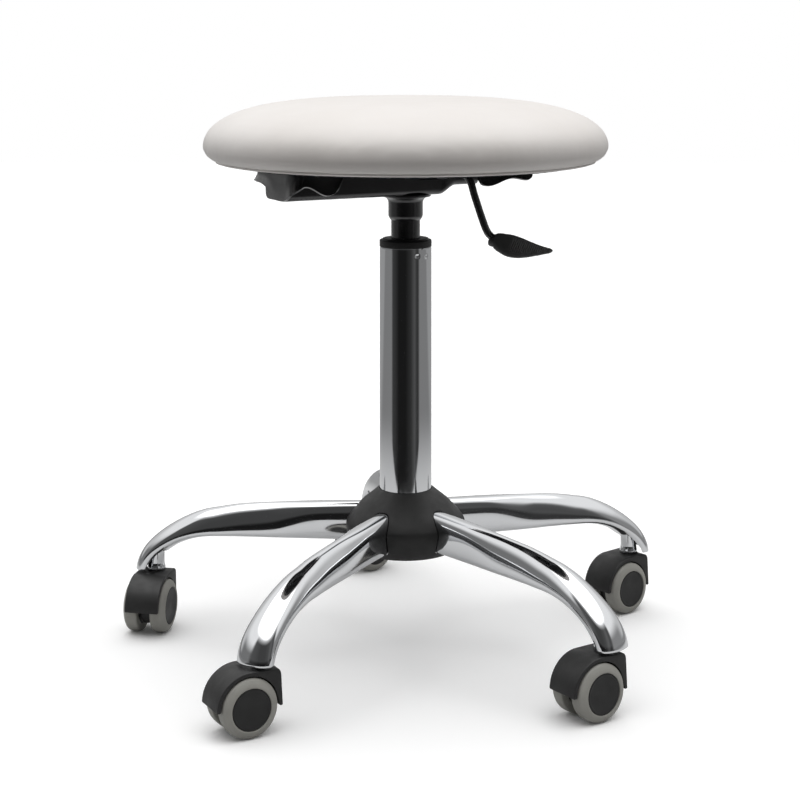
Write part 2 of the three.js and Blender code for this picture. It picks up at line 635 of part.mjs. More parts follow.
function wheelCore(side) {
  const { inner, outer, disc: seat, facets } = WHEEL;
  const bore = AXLE.radius + 0.45;
  const blind = AXLE.half + 0.5;
  const profile = [
    [0, blind], [bore, blind], [bore, inner], [seat, inner], [seat, outer - 0.9], [seat - 0.6, outer - 0.3],
    [0, outer - 0.3],
  ];
  return onAxle(turned(profile, facets, Math.PI / facets), side);
}

// ---- assembly -------------------------------------------------------------------------------
const stool = new THREE.Group();
stool.position.z = -ROD_END_Z;

function place(parent, name, geometry, material, position = [0, 0, 0]) {
  const mesh = new THREE.Mesh(tidyMesh(geometry), material);
  mesh.name = name;
  mesh.position.set(...position);
  parent.add(mesh);
}

function addSeat() {
  place(stool, 'seat_cover', seatCover(), vinyl());
  place(stool, 'seat_foam', seatFoam(), foam());
  place(stool, 'seat_board', seatBoard(), plywood());
  place(stool, 'seat_plate', seatPlate(), blackSteel());
  place(stool, 'seat_socket', seatSocket(), blackSteel());
  boltWorld.forEach((p, k) => place(stool, `seat_bolt_${k + 1}`, seatBolt(p), zincSteel()));
}

function addLift() {
  place(stool, 'pressure_tube', pressureTube(), blackSteel());
  place(stool, 'piston_rod', pistonRod(), zincSteel());
  place(stool, 'valve_pin', valvePin(), zincSteel());
  place(stool, 'retaining_clip', retainingClip(), zincSteel());
  place(stool, 'thrust_bearing', thrustBearing(), zincSteel());
  place(stool, 'guide_bushing', guideBushing(), blackPlastic());
  place(stool, 'column_tube', columnTube(), chrome());
}

function addLever() {
  place(stool, 'lever_rod', leverRod(), blackSteel());
  place(stool, 'lever_grip', leverGrip(), blackPlastic());
}

function addBase() {
  place(stool, 'hub_sleeve', hubSleeve(), chrome());
  place(stool, 'hub_cover', hubCover(), blackPlastic());
  ARM_HEADINGS.forEach((heading, k) => place(stool, `arm_${k + 1}`, baseArm(heading), chrome()));
}

function addCaster(number) {
  const armAngle = radians(ARM_HEADINGS[number - 1]);
  const caster = new THREE.Group();
  caster.position.set(STEM_REACH * Math.cos(armAngle), STEM_REACH * Math.sin(armAngle), 0);
  caster.rotation.z = radians(CASTER_HEADINGS[number - 1]);
  stool.add(caster);
  const hub = [-TRAIL, 0, WHEEL_RADIUS];
  place(caster, `caster_stem_${number}`, casterStem(), zincSteel());
  place(caster, `caster_housing_${number}`, casterHousing(), blackPlastic());
  place(caster, `caster_axle_${number}`, axle(), zincSteel(), hub);
  for (const [hand, side] of [['right', -1], ['left', 1]]) {
    place(caster, `wheel_core_${number}_${hand}`, wheelCore(side), blackPlastic(), hub);
    place(caster, `wheel_tread_${number}_${hand}`, wheelTread(side), greyTread(), hub);
  }
}

addSeat();
addLift();
addLever();
addBase();
for (let number = 1; number <= ARM_HEADINGS.length; number++) addCaster(number);

export default stool;
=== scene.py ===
"""Clinic stool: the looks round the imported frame. Lengths in the tables are millimetres above the floor."""

import json
import math
import random

import bmesh
import bpy
from mathutils import Matrix, Vector, noise


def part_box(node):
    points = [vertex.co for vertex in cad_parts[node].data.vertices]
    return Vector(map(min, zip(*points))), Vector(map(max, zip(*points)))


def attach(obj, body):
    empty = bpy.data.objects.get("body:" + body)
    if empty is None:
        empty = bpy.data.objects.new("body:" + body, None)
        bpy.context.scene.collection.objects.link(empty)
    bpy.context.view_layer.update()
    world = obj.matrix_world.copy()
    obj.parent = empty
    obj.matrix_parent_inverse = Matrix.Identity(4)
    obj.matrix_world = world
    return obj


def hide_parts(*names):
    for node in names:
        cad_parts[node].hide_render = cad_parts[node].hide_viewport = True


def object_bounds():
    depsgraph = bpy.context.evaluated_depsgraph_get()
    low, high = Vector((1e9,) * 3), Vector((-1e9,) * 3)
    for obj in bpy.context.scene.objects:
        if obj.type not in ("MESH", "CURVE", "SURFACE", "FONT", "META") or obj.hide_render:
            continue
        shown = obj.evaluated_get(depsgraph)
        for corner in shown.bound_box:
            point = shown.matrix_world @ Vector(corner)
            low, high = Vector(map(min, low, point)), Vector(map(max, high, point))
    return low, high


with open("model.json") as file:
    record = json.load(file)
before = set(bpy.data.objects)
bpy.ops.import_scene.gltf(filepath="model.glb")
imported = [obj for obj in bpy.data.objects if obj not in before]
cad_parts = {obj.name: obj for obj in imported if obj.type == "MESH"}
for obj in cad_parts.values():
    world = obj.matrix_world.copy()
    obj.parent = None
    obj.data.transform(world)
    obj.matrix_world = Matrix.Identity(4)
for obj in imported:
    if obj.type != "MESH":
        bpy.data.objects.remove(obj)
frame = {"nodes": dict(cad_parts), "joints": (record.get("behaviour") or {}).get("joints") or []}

MM = 0.001
CAD_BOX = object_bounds()
FLOOR = CAD_BOX[0][2]
JOINTS = {joint["name"]: joint for joint in frame["joints"]}
TAU = 2 * math.pi
ARMS = 5


def floor_box(node):
    """A CAD node's lowest and highest corner, in millimetres above the floor."""
    lo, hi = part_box(node)
    return [[v[0] / MM, v[1] / MM, (v[2] - FLOOR) / MM] for v in (lo, hi)]


# ---- mesh helpers ---------------------------------------------------------------------------
def in_row_frame(point, place):
    """A drawing point in millimetres above the floor, as metres in the shared frame."""
    p = place @ Vector(point)
    return p.x * MM, p.y * MM, p.z * MM + FLOOR


def raw_object(name, verts, faces, place=Matrix()):
    mesh = bpy.data.meshes.new(name)
    mesh.from_pydata([in_row_frame(v, place) for v in verts], [], faces)
    mesh.validate()
    grown = bmesh.new()
    grown.from_mesh(mesh)
    bmesh.ops.recalc_face_normals(grown, faces=grown.faces)
    grown.to_mesh(mesh)
    grown.free()
    obj = bpy.data.objects.new(name, mesh)
    bpy.context.collection.objects.link(obj)
    return obj


def bake_modifiers(obj):
    """Replaces the mesh by the one its modifiers give."""
    evaluated = obj.evaluated_get(bpy.context.evaluated_depsgraph_get())
    mesh = bpy.data.meshes.new_from_object(evaluated)
    obj.modifiers.clear()
    obj.data = mesh
    return obj


def carve(obj, *cutters):
    for cutter in cutters:
        cut = obj.modifiers.new("cut", "BOOLEAN")
        cut.operation, cut.solver, cut.object = "DIFFERENCE", "EXACT", cutter
    bake_modifiers(obj)
    for cutter in cutters:
        bpy.data.objects.remove(cutter)
    return obj


def soften(obj, width, angle=40, segments=2):
    edge = obj.modifiers.new("edge", "BEVEL")
    edge.width, edge.segments, edge.limit_method = width * MM, segments, "ANGLE"
    edge.angle_limit = math.radians(angle)
    return obj


def dress(obj, material, body, stands_for=(), sharp=34):
    """Smooth shading, material, slot and body for a finished piece."""
    mesh = obj.data
    mesh.polygons.foreach_set("use_smooth", [True] * len(mesh.polygons))
    mesh.set_sharp_from_angle(angle=math.radians(sharp))
    mesh.materials.clear()
    mesh.materials.append(material)
    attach(obj, body)
    if stands_for:
        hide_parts(*stands_for)
    return obj


def piece(name, shape, material, body, stands_for=(), place=Matrix(), sharp=34):
    return dress(raw_object(name, *shape, place), material, body, stands_for, sharp)


def polar(r, angle):
    return r * math.cos(angle), r * math.sin(angle)


def rounded(outline, closed=False, steps=4):
    """Rounds every (a, b, reach) corner of an outline; plain (a, b) corners stay sharp."""
    points, count = [], len(outline)
    for i, corner in enumerate(outline):
        here = Vector(corner[:2])
        ends = not closed and i in (0, count - 1)
        if len(corner) < 3 or ends:
            points.append(tuple(here))
            continue
        back = Vector(outline[i - 1][:2]) - here
        on = Vector(outline[(i + 1) % count][:2]) - here
        reach = min(corner[2], 0.48 * back.length, 0.48 * on.length)
        start, end = here + back.normalized() * reach, here + on.normalized() * reach
        for step in range(steps + 1):
            t = step / steps
            points.append(tuple(start * (1 - t) ** 2 + here * 2 * t * (1 - t) + end * t * t))
    return points


def lathe(outline, segments=96, steps=4):
    """Turned about z. An outline that starts on the axis ends on it; any other closes on itself."""
    closed = outline[0][0] > 0
    profile = rounded(outline, closed, steps)
    verts, rings = [], []
    for r, z in profile:
        start = len(verts)
        around = 1 if r < 1e-6 else segments
        verts += [(*polar(r, TAU * k / segments), z) for k in range(around)]
        rings.append(list(range(start, start + around)))
    pairs = list(zip(rings, rings[1:])) + ([(rings[-1], rings[0])] if closed else [])
    return verts, [face for pair in pairs for face in band(*pair)]


def band(a, b):
    """Faces between two rings of vertex numbers; a ring of one is a pole."""
    count = max(len(a), len(b))
    if count == 1:
        return []
    faces = []
    for k in range(count):
        n = (k + 1) % count
        if len(a) == 1:
            faces.append((a[0], b[n], b[k]))
        elif len(b) == 1:
            faces.append((a[k], a[n], b[0]))
        else:
            faces.append((a[k], a[n], b[n], b[k]))
    return faces


def skin(rings, closed=False):
    """Faces over equal rings of points, capped at both ends, or joined last to first."""
    count = len(rings[0])
    verts = [tuple(p) for ring in rings for p in ring]
    numbers = [list(range(i * count, (i + 1) * count)) for i in range(len(rings))]
    faces = [face for a, b in zip(numbers, numbers[1:]) for face in band(a, b)]
    if closed:
        faces += band(numbers[-1], numbers[0])
    else:
        faces += [tuple(reversed(numbers[0])), tuple(numbers[-1])]
    return verts, faces


def slab(outline, low, high, across="y"):
    """An outline in x and z thickened along y, or one in x and y thickened along z."""
    if across == "y":
        rings = [[(x, level, z) for x, z in outline] for level in (low, high)]
    else:
        rings = [[(x, y, level) for x, y in outline] for level in (low, high)]
    return skin(rings)


def oval(centre, across, over, half_width, half_height, power, count):
    """A superellipse ring in the plane of two unit vectors, starting at the bottom middle."""
    ring = []
    for k in range(count):
        angle = TAU * k / count - math.pi / 2
        c, s = math.cos(angle), math.sin(angle)
        w = half_width * math.copysign(abs(c) ** (2 / power), c)
        h = half_height * math.copysign(abs(s) ** (2 / power), s)
        ring.append(centre + across * w + over * h)
    return ring


def spline(points, t):
    """Catmull-Rom curve through the points, for t from 0 to 1, and its unit tangent."""
    last = len(points) - 1
    place = min(max(t, 0.0), 1.0) * last
    i = min(int(place), last - 1)
    u = place - i
    p = [Vector(points[min(max(i + k, 0), last)]) for k in (-1, 0, 1, 2)]
    a, b = (p[2] - p[0]) * 0.5, (p[3] - p[1]) * 0.5
    c0, c1 = 2 * p[1] - 2 * p[2] + a + b, -3 * p[1] + 3 * p[2] - 2 * a - b
    point = c0 * u**3 + c1 * u**2 + a * u + p[1]
    return point, (3 * c0 * u**2 + 2 * c1 * u + a).normalized()


def turn(degrees):
    return Matrix.Rotation(math.radians(degrees), 4, "Z")


# ---- materials ------------------------------------------------------------------------------
class Shader:
    """A Principled material with a few short ways to drive its sockets from noise."""

    def __init__(self, name, slot, color, roughness, metallic=0.0):
        self.material = bpy.data.materials.new(name)
        self.material.use_nodes = True
        self.material["slot"] = slot
        self.tree = self.material.node_tree
        self.main = self.tree.nodes["Principled BSDF"]
        self.main.inputs["Base Color"].default_value = (*color, 1)
        self.main.inputs["Roughness"].default_value = roughness
        self.main.inputs["Metallic"].default_value = metallic
        self.place = self.tree.nodes.new("ShaderNodeTexCoord").outputs["Object"]
        self.last_normal = None

    def node(self, kind, **values):
        made = self.tree.nodes.new(kind)
        for key, value in values.items():
            if key in made.inputs:
                made.inputs[key].default_value = value
            else:
                setattr(made, key.lower(), value)
        return made

    def link(self, source, target):
        self.tree.links.new(source, target)

    def noise(self, per_metre, detail=3.0, stretch=(1, 1, 1), roughness=0.5):
        mapping = self.node("ShaderNodeMapping")
        mapping.inputs["Scale"].default_value = stretch
        texture = self.node("ShaderNodeTexNoise", Scale=per_metre, Detail=detail, Roughness=roughness)
        self.link(self.place, mapping.inputs["Vector"])
        self.link(mapping.outputs["Vector"], texture.inputs["Vector"])
        return texture.outputs["Fac"]

    def cells(self, per_metre, feature="SMOOTH_F1"):
        texture = self.node("ShaderNodeTexVoronoi", Scale=per_metre)
        texture.feature = feature
        self.link(self.place, texture.inputs["Vector"])
        return texture.outputs["Distance"]

    def remap(self, source, low, high, start=0.3, end=0.7):
        ramp = self.node("ShaderNodeMapRange")
        for key, value in (("From Min", start), ("From Max", end), ("To Min", low), ("To Max", high)):
            ramp.inputs[key].default_value = value
        self.link(source, ramp.inputs["Value"])
        return ramp.outputs["Result"]

    def rough(self, source, low, high):
        self.link(self.remap(source, low, high), self.main.inputs["Roughness"])

    def tint(self, source, dark, light):
        mix = self.node("ShaderNodeMix", data_type="RGBA")
        low, high = (socket for socket in mix.inputs if socket.type == "RGBA")
        low.default_value, high.default_value = (*dark, 1), (*light, 1)
        self.link(self.remap(source, 0, 1), mix.inputs["Factor"])
        color = next(socket for socket in mix.outputs if socket.type == "RGBA")
        self.link(color, self.main.inputs["Base Color"])

    def bump(self, height, distance_mm, strength=1.0):
        bump = self.node("ShaderNodeBump", Strength=strength, Distance=distance_mm * MM)
        self.link(height, bump.inputs["Height"])
        if self.last_normal:
            self.link(self.last_normal, bump.inputs["Normal"])
        self.last_normal = bump.outputs["Normal"]
        self.link(self.last_normal, self.main.inputs["Normal"])
        return self


def vinyl_material():
    """Warm off-white upholstery vinyl: a fine pressed grain under a satin top coat."""
    s = Shader("vinyl", "vinyl", (0.80, 0.765, 0.735), 0.45)
    s.tint(s.noise(9, 2), (0.775, 0.737, 0.705), (0.825, 0.792, 0.765))
    s.rough(s.noise(70, 4), 0.40, 0.52)
    s.main.inputs["Coat Weight"].default_value = 0.08
    s.main.inputs["Coat Roughness"].default_value = 0.3
    s.main.inputs["Sheen Weight"].default_value = 0.06
    s.bump(s.cells(1500), 0.05, 0.35).bump(s.noise(420, 3), 0.06, 0.25)
    return s.material


def chrome_material():
    """Polished chrome plate with faint polishing marks."""
    s = Shader("chrome", "chrome", (0.76, 0.77, 0.785), 0.05, 1.0)
    s.rough(s.noise(55, 5), 0.035, 0.085)
    s.bump(s.noise(26, 2), 0.05, 0.12)
    return s.material


def black_enamel_material():
    """Black stoved enamel with a slight orange peel."""
    s = Shader("black_enamel", "black_steel", (0.01, 0.01, 0.011), 0.16)
    s.tint(s.noise(22, 3), (0.010, 0.010, 0.011), (0.018, 0.018, 0.019))
    s.rough(s.noise(60, 4), 0.14, 0.24)
    s.main.inputs["Coat Weight"].default_value = 1.0
    s.main.inputs["Coat Roughness"].default_value = 0.26
    s.bump(s.noise(380, 2), 0.08, 0.2)
    return s.material


def liner_material():
    """Black non-woven dust cover: matted fibres."""
    s = Shader("liner", "black_steel", (0.012, 0.012, 0.013), 0.9)
    s.tint(s.noise(700, 4, stretch=(1, 3, 1)), (0.006, 0.006, 0.007), (0.022, 0.022, 0.024))
    s.bump(s.noise(1100, 4, stretch=(3, 1, 1)), 0.1, 0.6)
    return s.material


def black_nylon_material(name="black_nylon", slot="black_plastic", base=0.014):
    """Moulded black nylon with a fine spark-eroded grain."""
    s = Shader(name, slot, (base, base, base * 1.04), 0.55)
    s.tint(s.noise(30, 3), (base * 0.85,) * 3, (base * 1.15,) * 3)
    s.rough(s.noise(90, 3), 0.46, 0.6)
    s.bump(s.noise(1400, 3), 0.05, 0.5)
    return s.material


def tread_material():
    """Warm grey soft polyurethane, slightly scuffed."""
    s = Shader("grey_tread", "grey_tread", (0.30, 0.295, 0.27), 0.6)
    s.tint(s.noise(45, 5), (0.275, 0.27, 0.247), (0.325, 0.32, 0.293))
    s.rough(s.noise(120, 4), 0.5, 0.68)
    s.bump(s.noise(900, 3), 0.04, 0.4)
    return s.material


def zinc_material():
    """Bright zinc plate with fine turning marks."""
    s = Shader("zinc", "zinc_steel", (0.56, 0.57, 0.58), 0.3, 1.0)
    s.tint(s.noise(40, 3), (0.50, 0.51, 0.53), (0.62, 0.62, 0.61))
    s.rough(s.noise(140, 4, stretch=(1, 1, 9)), 0.22, 0.38)
    s.bump(s.noise(500, 2, stretch=(1, 1, 8)), 0.03, 0.3)
    return s.material


def plywood_material():
    """Birch plywood face with long grain and darker streaks."""
    s = Shader("plywood", "plywood", (0.60, 0.44, 0.28), 0.65)
    grain = s.noise(26, 6, stretch=(1, 11, 1))
    s.tint(grain, (0.50, 0.345, 0.20), (0.70, 0.54, 0.36))
    s.rough(grain, 0.55, 0.75)
    s.bump(s.noise(160, 4, stretch=(1, 9, 1)), 0.12, 0.5)
    return s.material


VINYL = vinyl_material()
CHROME = chrome_material()
ENAMEL = black_enamel_material()
NYLON = black_nylon_material()
LINER = liner_material()
GRIP_RUBBER = black_nylon_material("grip_rubber", "black_plastic", 0.08)
CORE = black_nylon_material("wheel_nylon", "wheel_core", 0.011)
TREAD = tread_material()
ZINC = zinc_material()
PLYWOOD = plywood_material()


# ---- cushion --------------------------------------------------------------------------------
COVER_BOX = floor_box("seat_cover")
SEAT_RADIUS = (COVER_BOX[1][0] - COVER_BOX[0][0]) / 2
SEAT_TOP, SEAT_UNDER = COVER_BOX[1][2], COVER_BOX[0][2]
EQUATOR = 477.0  # height of the cushion's widest line
UNDER_RADIUS = 172.0  # where the lower rounding meets the flat underside
CROWN_RADIAL, CROWN_VERTICAL = 3.25, 2.25  # exponents of the crowned outline
BOARD_BOX = floor_box("seat_board")
BOARD_RADIUS = (BOARD_BOX[1][0] - BOARD_BOX[0][0]) / 2
PLATE_TOP = floor_box("seat_plate")[1][2]
HEM_RADIUS = 150.0


def cushion_outline(inset=0.0, crown_steps=40, under_steps=14):
    """Crown, equator and lower rounding of the cushion, from the top centre to the bottom centre."""
    radius, rise = SEAT_RADIUS - inset, SEAT_TOP - inset - EQUATOR
    outline = [(0.0, SEAT_TOP - inset)]
    for k in range(1, crown_steps + 1):
        a = math.pi / 2 * k / crown_steps
        r = radius * math.sin(a) ** (2 / CROWN_RADIAL)
        outline.append((r, EQUATOR + rise * math.cos(a) ** (2 / CROWN_VERTICAL)))
    reach, drop = radius - UNDER_RADIUS, EQUATOR - SEAT_UNDER - inset
    for k in range(1, under_steps + 1):
        a = math.pi / 2 * k / under_steps
        outline.append((UNDER_RADIUS + reach * math.cos(a), EQUATOR - drop * math.sin(a)))
    return outline + [(r, SEAT_UNDER + inset) for r in (150, 100, 0.0)]


def remesh(obj, size_mm):
    for other in bpy.context.selected_objects:
        other.select_set(False)
    obj.select_set(True)
    bpy.context.view_layer.objects.active = obj
    obj.data.remesh_voxel_size = size_mm * MM
    bpy.ops.object.voxel_remesh()


def inflate(obj, cap_mm, pinned, frames=20, pressure=4.0):
    """Swells the closed mesh as cloth under pressure. No point moves more than the cap."""
    rest = [v.co.copy() for v in obj.data.vertices]
    group = obj.vertex_groups.new(name="held")
    group.add([i for i, co in enumerate(rest) if pinned(co)], 1.0, "REPLACE")
    cloth = obj.modifiers.new("inflate", "CLOTH")
    cloth.settings.quality = 6
    cloth.settings.use_pressure = True
    cloth.settings.uniform_pressure_force = pressure
    cloth.settings.effector_weights.gravity = 0.0
    cloth.settings.vertex_group_mass = "held"
    cloth.point_cache.frame_start, cloth.point_cache.frame_end = 1, frames
    scene = bpy.context.scene
    for step in range(1, frames + 1):
        scene.frame_set(step)
    bake_modifiers(obj)
    scene.frame_set(1)
    for vertex, start in zip(obj.data.vertices, rest):
        move = vertex.co - start
        if move.length > cap_mm * MM:
            vertex.co = start + move.normalized() * cap_mm * MM
    obj.vertex_groups.clear()


def fit_cushion(obj):
    """Brings the swollen pad back to the cushion's own radius and crown height."""
    co = [v.co for v in obj.data.vertices]
    reach = sorted(math.hypot(p.x, p.y) for p in co)[-len(co) // 200]
    top = sorted(p.z for p in co)[-len(co) // 200]
    wide = SEAT_RADIUS * MM / reach
    base = FLOOR + SEAT_UNDER * MM
    tall = (SEAT_TOP - SEAT_UNDER) * MM / (top - base)
    for p in co:
        p.x, p.y, p.z = p.x * wide, p.y * wide, base + (p.z - base) * tall


def hollow_underside(obj):
    """Leaves the room for the board under the foam."""
    edge, roof = (BOARD_RADIUS + 1.0) * MM, FLOOR + (BOARD_BOX[1][2] + 0.9) * MM
    ledge = FLOOR + (SEAT_UNDER + 2.5) * MM
    for vertex in obj.data.vertices:
        r = math.hypot(vertex.co.x, vertex.co.y)
        if vertex.co.z < ledge and r < edge:
            vertex.co.z = roof


VOXEL, SWELL_CAP = 5.0, 8.0
SWELL_SHARE = 0.16  # how much of the free swelling the taut cover lets through


def cushion():
    """Foam pad in its taut cover: swollen as cloth, then held back to the crowned outline."""
    obj = raw_object("seat_cushion", *lathe(cushion_outline(), 128))
    remesh(obj, VOXEL)
    taut = [v.co.copy() for v in obj.data.vertices]
    low = FLOOR + (SEAT_UNDER + 1.1 * VOXEL) * MM
    inflate(obj, SWELL_CAP, lambda p: p.z < low and math.hypot(p.x, p.y) < UNDER_RADIUS * MM)
    for vertex, start in zip(obj.data.vertices, taut):
        vertex.co = start.lerp(vertex.co, SWELL_SHARE)
    fair = obj.modifiers.new("fair", "SMOOTH")
    fair.factor, fair.iterations = 0.5, 12
    bake_modifiers(obj)
    fit_cushion(obj)
    hollow_underside(obj)
    finer = obj.modifiers.new("finer", "SUBSURF")
    finer.levels = finer.render_levels = 1
    bake_modifiers(obj)
    return dress(obj, VINYL, "seat", ("seat_cover", "seat_foam"), sharp=60)


def hem_point(angle, inward, lower):
    """A point of the vinyl folded under the board; inward is 0 at the rounding and 1 at its cut edge."""
    start, end = UNDER_RADIUS + 11.0, HEM_RADIUS
    r = start + (end - start) * inward
    reach = max(0.0, min(1.0, (r - UNDER_RADIUS) / (SEAT_RADIUS - UNDER_RADIUS)))
    z = EQUATOR - (EQUATOR - SEAT_UNDER) * math.sqrt(1 - reach * reach)
    wander = noise.noise(Vector((math.cos(angle) * 3, math.sin(angle) * 3, 1.7)))
    pleat = math.cos(58 * angle + 9 * wander)
    depth = 0.9 * max(0.0, inward - 0.25) * (0.75 + 0.5 * noise.noise(Vector((angle * 4, 0.3, 5.1))))
    ragged = 1.4 * noise.noise(Vector((math.cos(angle) * 9, math.sin(angle) * 9, 8.2))) * inward
    z -= 0.35 + depth * (0.55 + 0.45 * pleat) - (1.25 if not lower else 0.0)
    return (*polar(r + ragged, angle), z)


def seat_hem():
    """The cover folded under the board, gathered into small radial pleats."""
    around, rows = 720, 16
    verts = []
    for lower in (True, False):
        for row in range(rows):
            verts += [hem_point(TAU * k / around, row / (rows - 1), lower) for k in range(around)]
    rings = [list(range(i * around, (i + 1) * around)) for i in range(2 * rows)]
    order = rings[:rows] + list(reversed(rings[rows:]))
    faces = [face for a, b in zip(order, order[1:] + order[:1]) for face in band(a, b)]
    return piece("seat_hem", (verts, faces), VINYL, "seat")


LINER_TACK_RADIUS = 160.0
LINER_DROP = 1.75  # how far the tacked liner hangs below the cushion's underside


def seat_liner():
    """Black dust cover: flat between board and plate, stepping down to the hem it is stapled over."""
    low, flat = SEAT_UNDER - LINER_DROP, PLATE_TOP + 0.22
    profile = [(r, flat) for r in (0.0, 60, 110, 145)] + [(148, PLATE_TOP - 0.4), (151, low + 0.6)]
    profile += [(r, low) for r in (154, 157, 160, 163)] + [(166, low + 0.05), (167.5, low + 0.35)]
    around, thin = 480, 0.15
    verts, rings = [], []
    for layer in (-thin, 0.0):
        for r, z in profile if layer < 0 else reversed(profile):
            start = len(verts)
            for k in range(around if r > 0 else 1):
                angle = TAU * k / around
                c, s = math.cos(angle), math.sin(angle)
                loose = min(1.0, max(0.0, (r - 148) / 8))
                wrinkle = 0.22 * loose * noise.noise(Vector((c * 26, s * 26, r * 0.05)))
                edge = r + (0.8 * noise.noise(Vector((c * 7, s * 7, 3.3))) if r > 164 else 0.0)
                verts.append((edge * c, edge * s, z + layer + wrinkle))
            rings.append(list(range(start, len(verts))))
    faces = [face for a, b in zip(rings, rings[1:]) for face in band(a, b)]
    return piece("seat_liner", (verts, faces), LINER, "seat", sharp=70)


def staples():
    """Wire staples round the liner's edge, each a flat crown lying across it."""
    verts, faces = [], []
    count, half, thick, wide, leg = 60, 5.0, 0.35, 0.55, 1.1
    rng = random.Random(7)
    for k in range(count):
        angle = TAU * k / count + rng.uniform(-0.012, 0.012)
        r = LINER_TACK_RADIUS + rng.uniform(-1.2, 1.2)
        low = Matrix.Translation((r, 0, SEAT_UNDER - LINER_DROP - thick))
        place = turn(math.degrees(angle)) @ low @ turn(rng.uniform(-14, 14))
        rings = []
        section = ((-wide, -thick), (wide, -thick), (wide, thick), (-wide, thick))
        crown = ((-half, leg), (-half, 0.25), (-half + 0.5, 0), (half - 0.5, 0), (half, 0.25), (half, leg))
        for y, drop in crown:
            rings.append([(x, y, drop + z) for x, z in section])
        ring_verts, ring_faces = skin(rings)
        start = len(verts)
        verts += [tuple(place @ Vector(v)) for v in ring_verts]
        faces += [tuple(i + start for i in face) for face in ring_faces]
    return piece("liner_staples", (verts, faces), ZINC, "seat")


# ---- mounting plate and socket --------------------------------------------------------------
CHANNEL_BOTTOM = 432.5
PLATE_HEADING, PLATE_END, PLATE_FAR_END = 28.0, 140.0, 118.0
PLATE_HALF_END, PLATE_HALF_WAIST, PLATE_WAIST_REACH = 46.0, 38.0, 48.0
SKIRT_MIDDLE, SKIRT_LOBE, SKIRT_END_EDGE, SKIRT_WAIST = 443.0, 433.0, 448.0, 458.0
SKIRT_BEND, SKIRT_SPLAY, FULL_SPLAY_DROP = 5.0, 3.2, 12.0
SHEET = 2.5
PIVOT = [v / MM for v in JOINTS["lever_lift"]["pos_m"]]
LEVER_HEADING = math.degrees(math.atan2(PIVOT[1], PIVOT[0]))
PIVOT_REACH, LEVER_HEIGHT = math.hypot(PIVOT[0], PIVOT[1]), PIVOT[2] - FLOOR / MM


def plate_outline(inset, steps=150):
    """Plan of the plate: broad rounded ends and a drawn-in waist."""
    corner, length = 14.0, PLATE_END + PLATE_FAR_END
    near = []
    for k in range(steps + 1):
        ease = 0.5 - 0.5 * math.cos(math.pi * k / steps)
        x = -PLATE_END + inset + (length - 2 * inset) * (0.35 * ease + 0.65 * k / steps)
        drawn_in = math.exp(-((x / PLATE_WAIST_REACH) ** 2))
        half = PLATE_HALF_END - (PLATE_HALF_END - PLATE_HALF_WAIST) * drawn_in - inset
        to_end = min(x + PLATE_END - inset, PLATE_FAR_END - inset - x)
        if to_end < corner:
            half -= corner - math.sqrt(max(0.0, corner**2 - (corner - to_end) ** 2))
        near.append((x, -half))
    far = [(x, -y) for x, y in reversed(near)]
    return near + straight_between(near[-1], far[0]) + far + straight_between(far[-1], near[0])


def straight_between(start, end, steps=18):
    """The points that divide a straight side, without its two ends."""
    a, b = Vector(start), Vector(end)
    return [tuple(a + (b - a) * k / steps) for k in range(1, steps)]


def ramp(value, start, end):
    """0 before start and 1 after end, with a soft change between them."""
    t = min(1.0, max(0.0, (value - start) / (end - start)))
    return t * t * (3 - 2 * t)


def skirt_height(x, y):
    """Lower edge of the skirt: lobes towards both ends, a plain middle and a deep lobe round one corner."""
    long_lobes = 4.5 * math.cos(TAU * (x + 104) / 44)
    short_lobes = 2.6 * math.cos(TAU * (x - 65) / 47) - 0.06 * (x - 65)
    tip = 6 * math.exp(-(((PLATE_FAR_END - x) / 9) ** 2))
    lobed = SKIRT_MIDDLE - (long_lobes if x < 0 else short_lobes) + tip
    middle = ramp(x, -97, -84) * (1 - ramp(x, 28, 50))
    side = lobed + (SKIRT_WAIST - lobed) * middle
    end = SKIRT_END_EDGE - (SKIRT_END_EDGE - SKIRT_LOBE) / (1 + ((y + 18) / 22) ** 4)
    height = end + (side - end) * ramp(x, -PLATE_END + 1, -PLATE_END + 13)
    lever = math.radians(LEVER_HEADING - PLATE_HEADING)
    along = x * math.cos(lever) + y * math.sin(lever)
    aside = abs(-x * math.sin(lever) + y * math.cos(lever))
    if along > 0:
        notch = 1 / (1 + math.exp((aside - 7.0) / 0.7))
        height += max(0.0, PLATE_TOP - SKIRT_BEND - 0.3 - height) * notch
    return height


def seat_pan():
    """Pressed sheet: flat top, a bend radius and a turned-down skirt."""
    bend, arc = SKIRT_BEND, 5
    rows = [[(x, y, PLATE_TOP) for x, y in plate_outline(inset)] for inset in (16, bend)]
    for k in range(1, arc + 1):
        a = math.pi / 2 * k / arc
        z = PLATE_TOP - bend * (1 - math.cos(a))
        rows.append([(x, y, z) for x, y in plate_outline(bend * (1 - math.sin(a)))])
    straight, splayed = plate_outline(0), plate_outline(-SKIRT_SPLAY)
    drops = [PLATE_TOP - bend - skirt_height(x, y) for x, y in straight]
    for share in (0.25, 0.5, 0.75, 1.0):
        row = []
        for (x, y), (wide_x, wide_y), drop in zip(straight, splayed, drops):
            out = share * share * min(1.0, drop / FULL_SPLAY_DROP)
            row.append((x + (wide_x - x) * out, y + (wide_y - y) * out, PLATE_TOP - bend - drop * share))
        rows.append(row)
    verts, faces = skin(rows)
    obj = raw_object("seat_pan", verts, faces[:-1], turn(PLATE_HEADING))
    wall = obj.modifiers.new("wall", "SOLIDIFY")
    wall.thickness, wall.offset = SHEET * MM, -1
    bake_modifiers(obj)
    return dress(soften(obj, 0.5, 50), ENAMEL, "seat", ("seat_plate",))


